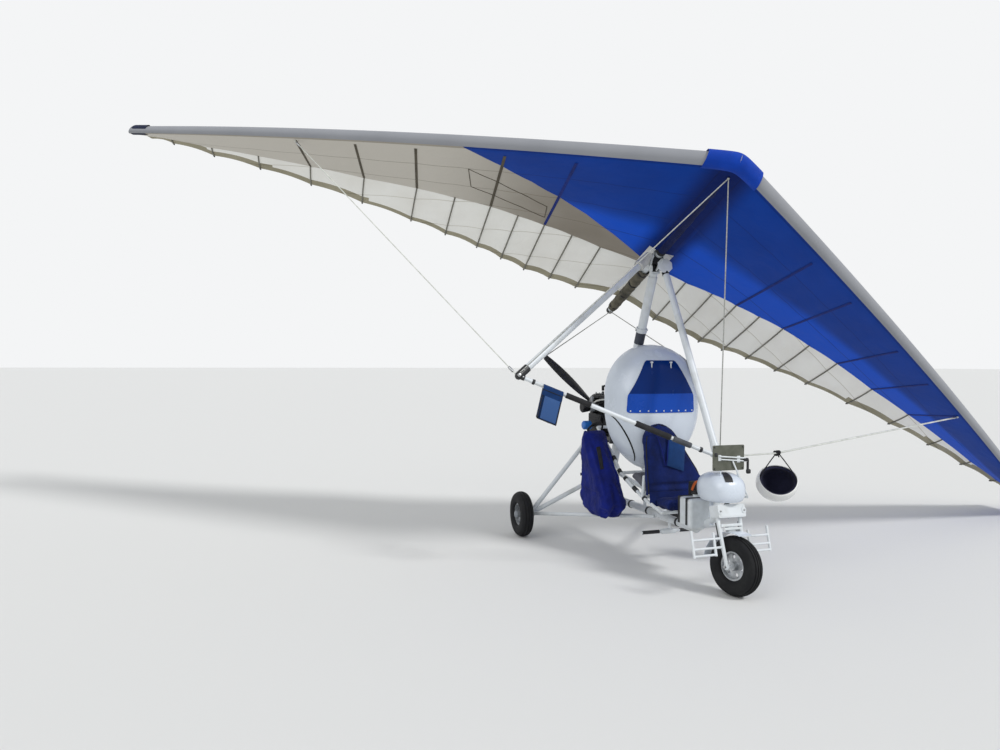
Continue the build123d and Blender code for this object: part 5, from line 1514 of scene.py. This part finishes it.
def build_helmet():
    """Open-face shell with a padded lining, hung on the cables by its knotted chin straps."""
    place = TRIKE @ Matrix.Translation(HELMET) @ HELMET_OPEN.to_track_quat("Z", "Y").to_matrix().to_4x4()
    for outer, wall, high, finish, name, nodes, slot in (
            (HELMET_R, 0.007, 112, "helmet shell", "helmet_shell", ("helmet",), "white_shell"),
            (HELMET_R - 0.0075, 0.020, 109, "lining", "helmet_lining", (), "seat_cloth")):
        obj = helmet_bowl(high, outer, wall)
        for v in obj.data.vertices:
            # the rim dips at the brow and the neck and stands up at both cheeks
            round_axis = math.atan2(v.co.y, v.co.x)
            rise = max(0.0, v.co.z / outer)
            v.co.z += 0.026 * rise * math.cos(2 * round_axis) - 0.010 * rise
            v.co.x *= 1.03
            v.co.y *= 0.94
        if finish == "lining":
            crumple(obj, 0.03, 0.005)
        piece(obj, name, (place, "wing"), finish, nodes, angle=60)
    hook = place.inverted() @ helmet_hook()
    a, b = wing_wire_ends()
    along = (place.inverted().to_3x3() @ (b - a)).normalized()
    rim = HELMET_R * 0.93
    straps = []
    for x in (-1, 1):
        foot = Vector((x * rim * 1.01, 0, 0.052))
        straps.append(flex([foot - Vector((0, 0, 0.03)), foot, (foot + hook) / 2 + Vector((x * 0.012, 0, 0)),
                            hook + along * x * 0.010], 0.0042, sides=12))
    # the knot: three turns round the cables, the last ones askew
    for k, (shift, lean) in enumerate(((-0.016, 0.25), (0.0, -0.1), (0.014, -0.35))):
        axis = (along + Vector((0, lean, lean / 2))).normalized()
        straps.append(ring(hook + along * shift, axis, 0.0165 - 0.001 * k, 0.0055, 28))
    straps.append(flex([hook, hook + Vector((0.012, -0.010, -0.022)), hook + Vector((0.020, -0.004, -0.050))],
                       0.005, sides=12))
    piece(straps, "helmet_straps", (place, "wing"), "black webbing")


# Rigging

def wire_end(x, back):
    """Middle of a wire's end ball, just under the tight part of the sail."""
    f = sail_shape(x)
    t = back / f["chord"]
    p, q = (sail_point(x, f, s, -f["r"] + s / f["full"] * (f["hump_up"] - SKIN + f["r"])) for s in (t, t + 0.02))
    run = (q - p).normalized()
    down = Vector((0, run.z, -run.y))
    return p + down * 0.0093


def wing_wire_ends():
    """Both ends of the left side wire, in the row's frame."""
    return moved(WING, on_bar(BAR_HALF + 0.016), wire_end(CROSS_X, 0.040))


def build_rigging():
    """Pair of covered cables on the left, bent where the helmet hangs, and the swages at the wires' ends."""
    a, b = wing_wire_ends()
    run = (b - a).normalized()
    across = run.cross(Vector((0, 0, 1))).normalized() * 0.0062
    start = a + run * 0.046
    hook = helmet_hook()
    pair = []
    for s in (-1, 1):
        pair.append(rod(start + s * across, hook + s * across, 0.0055, 0.002, 14))
        pair.append(rod(hook + s * across, b - run * 0.010 + s * across * 0.5, 0.0055, 0.002, 14))
    pair.append(ball(b, 0.009, 20))
    piece(pair, "side_cables_left", (None, "wing"), "clear wire", ("side_wires_left",), angle=50)

    fittings = []
    c = WING @ on_bar(-BAR_HALF - 0.016)
    d = WING @ wire_end(-CROSS_X, 0.040)
    for p, q in ((a, b), (c, d)):
        way = (q - p).normalized()
        near = (hook - p).normalized() if p is a else way
        fittings.append(rod(p + near * 0.036, p + near * 0.085, 0.0095, 0.002, 14))
        fittings.append(rod(q - way * 0.075, q - way * 0.020, 0.0085, 0.002, 14))
    piece(fittings, "wire_swages", (None, "wing"), "steel")


# Wing fittings

def build_keel_cloth():
    """Pocket round the keel ahead of the bracket, dark navy in painted shade, and the worn sleeve behind it with its
    bands.
    """
    rows = []
    for k in range(41):
        y = -1.375 + 1.195 * k / 40
        slack = 0.004 * math.sin(k * 0.9) + 0.003 * math.sin(k * 2.1)
        row = []
        for j in range(17):
            a = math.radians(-128 + 256 * j / 16)
            row.append((0.0335 * math.sin(a), y, WING_KEEL_Z - (0.0335 + slack * 0.5) * math.cos(a)))
        hem_z = on_lower(0.075, y, 0.001).z
        for end, side in ((0, -1), (16, 1)):
            row[end] = (side * 0.072, y, hem_z)
        row[1] = (-0.047, y, (row[0][2] + row[2][2]) / 2)
        row[15] = (0.047, y, (row[16][2] + row[14][2]) / 2)
        rows.append(row)
    # the pocket's dark navy is painted shade
    fold = sheet_mesh("keel_fold", rows)
    piece(fold, "keel_fold", ON_WING, "shaded keel pocket cloth", angle=60, wall=0.0012)

    rows = []
    for k in range(45):
        y = 0.190 + 0.862 * k / 44
        row = []
        for j in range(25):
            a = math.radians(-118 + 236 * j / 24)
            r = 0.0425 + 0.0018 * math.sin(5 * a + k * 0.7) + 0.0016 * math.sin(k * 1.7)
            row.append((r * math.sin(a), y, min(0.1, WING_KEEL_Z - r * math.cos(a))))
        rows.append(row)
    cover = sheet_mesh("keel_sleeve", rows)
    piece(cover, "keel_sleeve", ON_WING, "sleeve cloth", ("keel_cover",), angle=60, wall=0.002, offset=-1)
    bands = [sleeve((0, y, WING_KEEL_Z), (0, y + 0.022, WING_KEEL_Z), 0.030, 0.0462)
             for y in (0.235, 0.46, 0.70, 0.985)]
    bands.append(sleeve((0, -0.185, WING_KEEL_Z), (0, -0.150, WING_KEEL_Z), 0.0277, 0.0385))
    piece(bands, "keel_bands", ON_WING, "black webbing")


def build_apex():
    """White eight-sided plates, padded cover, straps and bolts where the control frame hangs."""
    plates = [rod((0.074, -0.118, 0.000), (0.074, -0.112, 0.000), 0.064, 0.0012, 8),
              rod((0.074, -0.113, 0.013), (0.074, -0.076, 0.013), 0.012, 0.002, 16)]
    for side in (-1, 1):
        plates.append(rod((side * 0.0375, -0.078, 0.030), (side * 0.0425, -0.078, 0.030), 0.058, 0.001, 8))
    piece(plates, "apex_plates", ON_WING, "white paint")
    bolts = [rod((-0.105, -0.078, 0.013), (0.105, -0.078, 0.013), 0.0085, 0.0015, 6)]
    for side in (-1, 1):
        for y, z in ((-0.100, 0.062), (-0.056, 0.062), (-0.100, 0.0), (-0.056, 0.0)):
            bolts.append(rod((side * 0.042, y, z), (side * 0.049, y, z), 0.006, 0.001, 6))
    piece(bolts, "apex_bolts", ON_WING, "steel")
    head = upright_head(-1)
    way = (on_bar(-BAR_HALF) - head).normalized()
    pad = sleeve(head - way * 0.045, head + way * 0.120, 0.0262, 0.043, 0.012, 40)
    modify(pad, "REMESH", mode="VOXEL", voxel_size=0.004)
    modify(pad, "SMOOTH", factor=0.5, iterations=5)
    crumple(pad, 0.03, 0.007)
    piece(pad, "apex_pad", ON_WING, "white pad cloth", angle=60)
    straps = [ring((0, -0.078 + dy, 0.075), (0, 1, 0), 0.0385, 0.0035, 32) for dy in (-0.034, 0.034)]
    straps.append(block((-0.030, -0.115, -0.015), (0.030, -0.105, 0.040), 0.003))
    for side in (-1, 1):
        head = upright_head(side)
        way = (on_bar(side * BAR_HALF) - head).normalized()
        straps.append(sleeve(head + way * 0.055, head + way * 0.085, 0.0262, 0.0295))
    piece(straps, "apex_straps", ON_WING, "black webbing")


def build_caps():
    """Blue cap over the nose and dark caps over the tips of the leading edges."""
    cot = 1 / math.tan(bpy.context.scene.microlight_sail.sweep)
    rows = []
    for i in range(33):
        x = -0.190 + 0.380 * i / 32
        _, z0, r = edge_line(abs(x))
        y0 = NOSE_Y + (math.hypot(x, 0.045) - 0.030) * cot
        r += 0.0065
        row = []
        reach = 0.062 + 0.004 * math.sin(i * 0.8)
        for k in range(15):
            a = math.radians(-68 - 202 * k / 14)
            row.append((x, y0 + r * math.cos(a), z0 + r * math.sin(a)))
        for k in range(1, 7):
            row.append((x, y0 + reach * k / 6, z0 + r + 0.020 * k / 6))
        rows.append(row)
    cap = sheet_mesh("nose_cover", rows)
    outward(cap)
    piece(cap, "nose_cover", ON_WING, "blue cap", ("nose_cap",), angle=60, wall=0.0015)

    tips = []
    for side in (-1, 1):
        rows = []
        for i in range(15):
            x = 4.66 + 0.205 * i / 14
            y0, z0, r = edge_line(x)
            end = 1.0 if i < 11 else math.sqrt(max(0.0, 1 - ((i - 10) / 4.2) ** 2))
            r = (r + 0.0045) * end
            rows.append([(side * x, y0 + r * math.cos(math.radians(15 * j)), z0 + r * math.sin(math.radians(15 * j)))
                         for j in range(24)])
        tips.append(sheet_mesh("tip", rows, closed=True))
    for tip in tips:
        outward(tip)
    piece(tips, "tip_caps", ON_WING, "dark cap", angle=60)


# Stage

def build_stage():
    bpy.ops.object.select_all(action="DESELECT")
    bpy.ops.mesh.primitive_plane_add(size=400, location=(0, 0, 0))
    floor = bpy.context.active_object
    floor.name = "floor"
    floor.data.materials.append(new_material("pale_painted_floor", "#dcdcda", 0.9)[0])
    world = bpy.data.worlds.new("studio")
    bpy.context.scene.world = world
    world.use_nodes = True
    tree = world.node_tree
    tree.nodes.clear()
    path = add_node(tree, "ShaderNodeLightPath")
    soft = add_node(tree, "ShaderNodeBackground", {"Color": linear("#eef1f5"), "Strength": 0.62})
    seen = add_node(tree, "ShaderNodeBackground", {"Color": linear("#f4f5f6"), "Strength": 1.0})
    some = calc(tree, "MAXIMUM", path.outputs["Is Camera Ray"], path.outputs["Is Glossy Ray"])
    every = calc(tree, "MAXIMUM", some, path.outputs["Is Transmission Ray"])
    mix = add_node(tree, "ShaderNodeMixShader", {0: every, 1: soft.outputs[0], 2: seen.outputs[0]})
    add_node(tree, "ShaderNodeOutputWorld", {"Surface": mix.outputs[0]})
    for name, turns, strength, width in (("key", (48, 8, 28), 1.9, 12), ("fill", (60, 0, -60), 0.7, 40)):
        lamp = bpy.data.lights.new(name, "SUN")
        lamp.energy = strength
        lamp.angle = math.radians(width)
        holder = bpy.data.objects.new(name, lamp)
        holder.rotation_euler = [math.radians(t) for t in turns]
        bpy.context.collection.objects.link(holder)


EYE = Vector((-2.994, -5.368, 0))
LOOK_YAW = -17.69
LOOK_DOWN = 0.97
LOOK_ROLL = 0.16


def build_camera():
    sizes = bpy.context.scene.microlight_camera
    camera = bpy.data.objects.new("camera", bpy.data.cameras.new("camera"))
    camera.data.lens = sizes.lens
    camera.data.sensor_width = 36
    camera.data.clip_end = 500
    place = Matrix.Translation(DATUM + EYE + Vector((0, 0, sizes.height)))
    camera.matrix_world = place @ turn(LOOK_YAW, "Z") @ turn(90 - LOOK_DOWN, "X") @ turn(LOOK_ROLL, "Z")
    bpy.context.collection.objects.link(camera)
    bpy.context.scene.camera = camera
    bpy.context.scene.view_settings.view_transform = "Standard"


class Step:
    """Runs a step's builders in order."""
    builders = ()

    def execute(self, context):
        for build in self.builders:
            build()
        return {"FINISHED"}


class MICROLIGHT_OT_stage(Step, bpy.types.Operator):
    """Sets the floor, the light and the camera"""
    bl_idname = "microlight.stage"
    bl_label = "Stage and camera"
    builders = (build_stage, build_camera)


class MICROLIGHT_OT_finishes(Step, bpy.types.Operator):
    """Makes the finishes and gives each solid part its own"""
    bl_idname = "microlight.finishes"
    bl_label = "Finishes"
    builders = (make_finishes, dress_nodes)


class MICROLIGHT_OT_sail(Step, bpy.types.Operator):
    """Sews the sail with its battens"""
    bl_idname = "microlight.sail"
    bl_label = "Sail"
    builders = (build_sail, build_battens)


class MICROLIGHT_OT_fairing(Step, bpy.types.Operator):
    """Moulds the fairing with its riveted window"""
    bl_idname = "microlight.fairing"
    bl_label = "Fairing"
    builders = (build_fairing,)


class MICROLIGHT_OT_seats(Step, bpy.types.Operator):
    """Pads both seats"""
    bl_idname = "microlight.seats"
    bl_label = "Seats"
    builders = (build_front_seat, build_rear_seat)


class MICROLIGHT_OT_bags(Step, bpy.types.Operator):
    """Fills the bag beside the seat and the one on the bar"""
    bl_idname = "microlight.bags"
    bl_label = "Bags"
    builders = (build_pannier, build_bar_bag)


class MICROLIGHT_OT_control_bar(Step, bpy.types.Operator):
    """Fits the grips and corners of the control bar"""
    bl_idname = "microlight.control_bar"
    bl_label = "Control bar"
    builders = (build_control_bar,)


class MICROLIGHT_OT_wheels(Step, bpy.types.Operator):
    """Cuts the tyres' treads and fits caps and nuts"""
    bl_idname = "microlight.wheels"
    bl_label = "Wheels"
    builders = (build_wheels,)


class MICROLIGHT_OT_nose(Step, bpy.types.Operator):
    """Makes the pod, the screen and the nose leg's fittings"""
    bl_idname = "microlight.nose"
    bl_label = "Nose"
    builders = (build_pod, build_screen, build_nose_fittings)


class MICROLIGHT_OT_bands(Step, bpy.types.Operator):
    """Fits clamps, straps and sleeves on the tubes"""
    bl_idname = "microlight.bands"
    bl_label = "Clamps and straps"
    builders = (build_bands,)


class MICROLIGHT_OT_engine(Step, bpy.types.Operator):
    """Fits the starter, carburettor, hoses and propeller plate"""
    bl_idname = "microlight.engine"
    bl_label = "Engine"
    builders = (build_engine_fittings,)


class MICROLIGHT_OT_helmet(Step, bpy.types.Operator):
    """Lines the helmet and hangs it up"""
    bl_idname = "microlight.helmet"
    bl_label = "Helmet"
    builders = (build_helmet,)


class MICROLIGHT_OT_rigging(Step, bpy.types.Operator):
    """Covers the cables and swages their ends"""
    bl_idname = "microlight.rigging"
    bl_label = "Rigging"
    builders = (build_rigging,)


class MICROLIGHT_OT_wing_fittings(Step, bpy.types.Operator):
    """Fits the keel's cloth, the apex and the caps"""
    bl_idname = "microlight.wing_fittings"
    bl_label = "Wing fittings"
    builders = (build_keel_cloth, build_apex, build_caps)


OPERATORS = [
    MICROLIGHT_OT_stage, MICROLIGHT_OT_finishes, MICROLIGHT_OT_sail, MICROLIGHT_OT_fairing, MICROLIGHT_OT_seats,
    MICROLIGHT_OT_bags, MICROLIGHT_OT_control_bar, MICROLIGHT_OT_wheels, MICROLIGHT_OT_nose, MICROLIGHT_OT_bands,
    MICROLIGHT_OT_engine, MICROLIGHT_OT_helmet, MICROLIGHT_OT_rigging, MICROLIGHT_OT_wing_fittings]


class MICROLIGHT_PT_panel(bpy.types.Panel):
    """Lists the steps that dress the aircraft"""
    bl_idname = "MICROLIGHT_PT_panel"
    bl_label = "Microlight"
    bl_space_type = "VIEW_3D"
    bl_region_type = "UI"
    bl_category = "Microlight"

    def draw(self, context):
        for step in OPERATORS:
            self.layout.operator(step.bl_idname)
        for name in ("sweep", "edge_length", "edge_radius", "billow", "blue"):
            self.layout.prop(context.scene.microlight_sail, name)
        for name in ("lens", "height"):
            self.layout.prop(context.scene.microlight_camera, name)


CLASSES = [SailSizes, CameraSizes, *OPERATORS, MICROLIGHT_PT_panel]


def register():
    for cls in CLASSES:
        bpy.utils.register_class(cls)
    bpy.types.Scene.microlight_sail = bpy.props.PointerProperty(type=SailSizes)
    bpy.types.Scene.microlight_camera = bpy.props.PointerProperty(type=CameraSizes)


def unregister():
    del bpy.types.Scene.microlight_sail
    del bpy.types.Scene.microlight_camera
    for cls in reversed(CLASSES):
        bpy.utils.unregister_class(cls)


def main():
    """Registers the steps and runs them in order."""
    register()
    for step in OPERATORS:
        group, name = step.bl_idname.split(".")
        getattr(getattr(bpy.ops, group), name)()


if __name__ == "__main__":
    main()
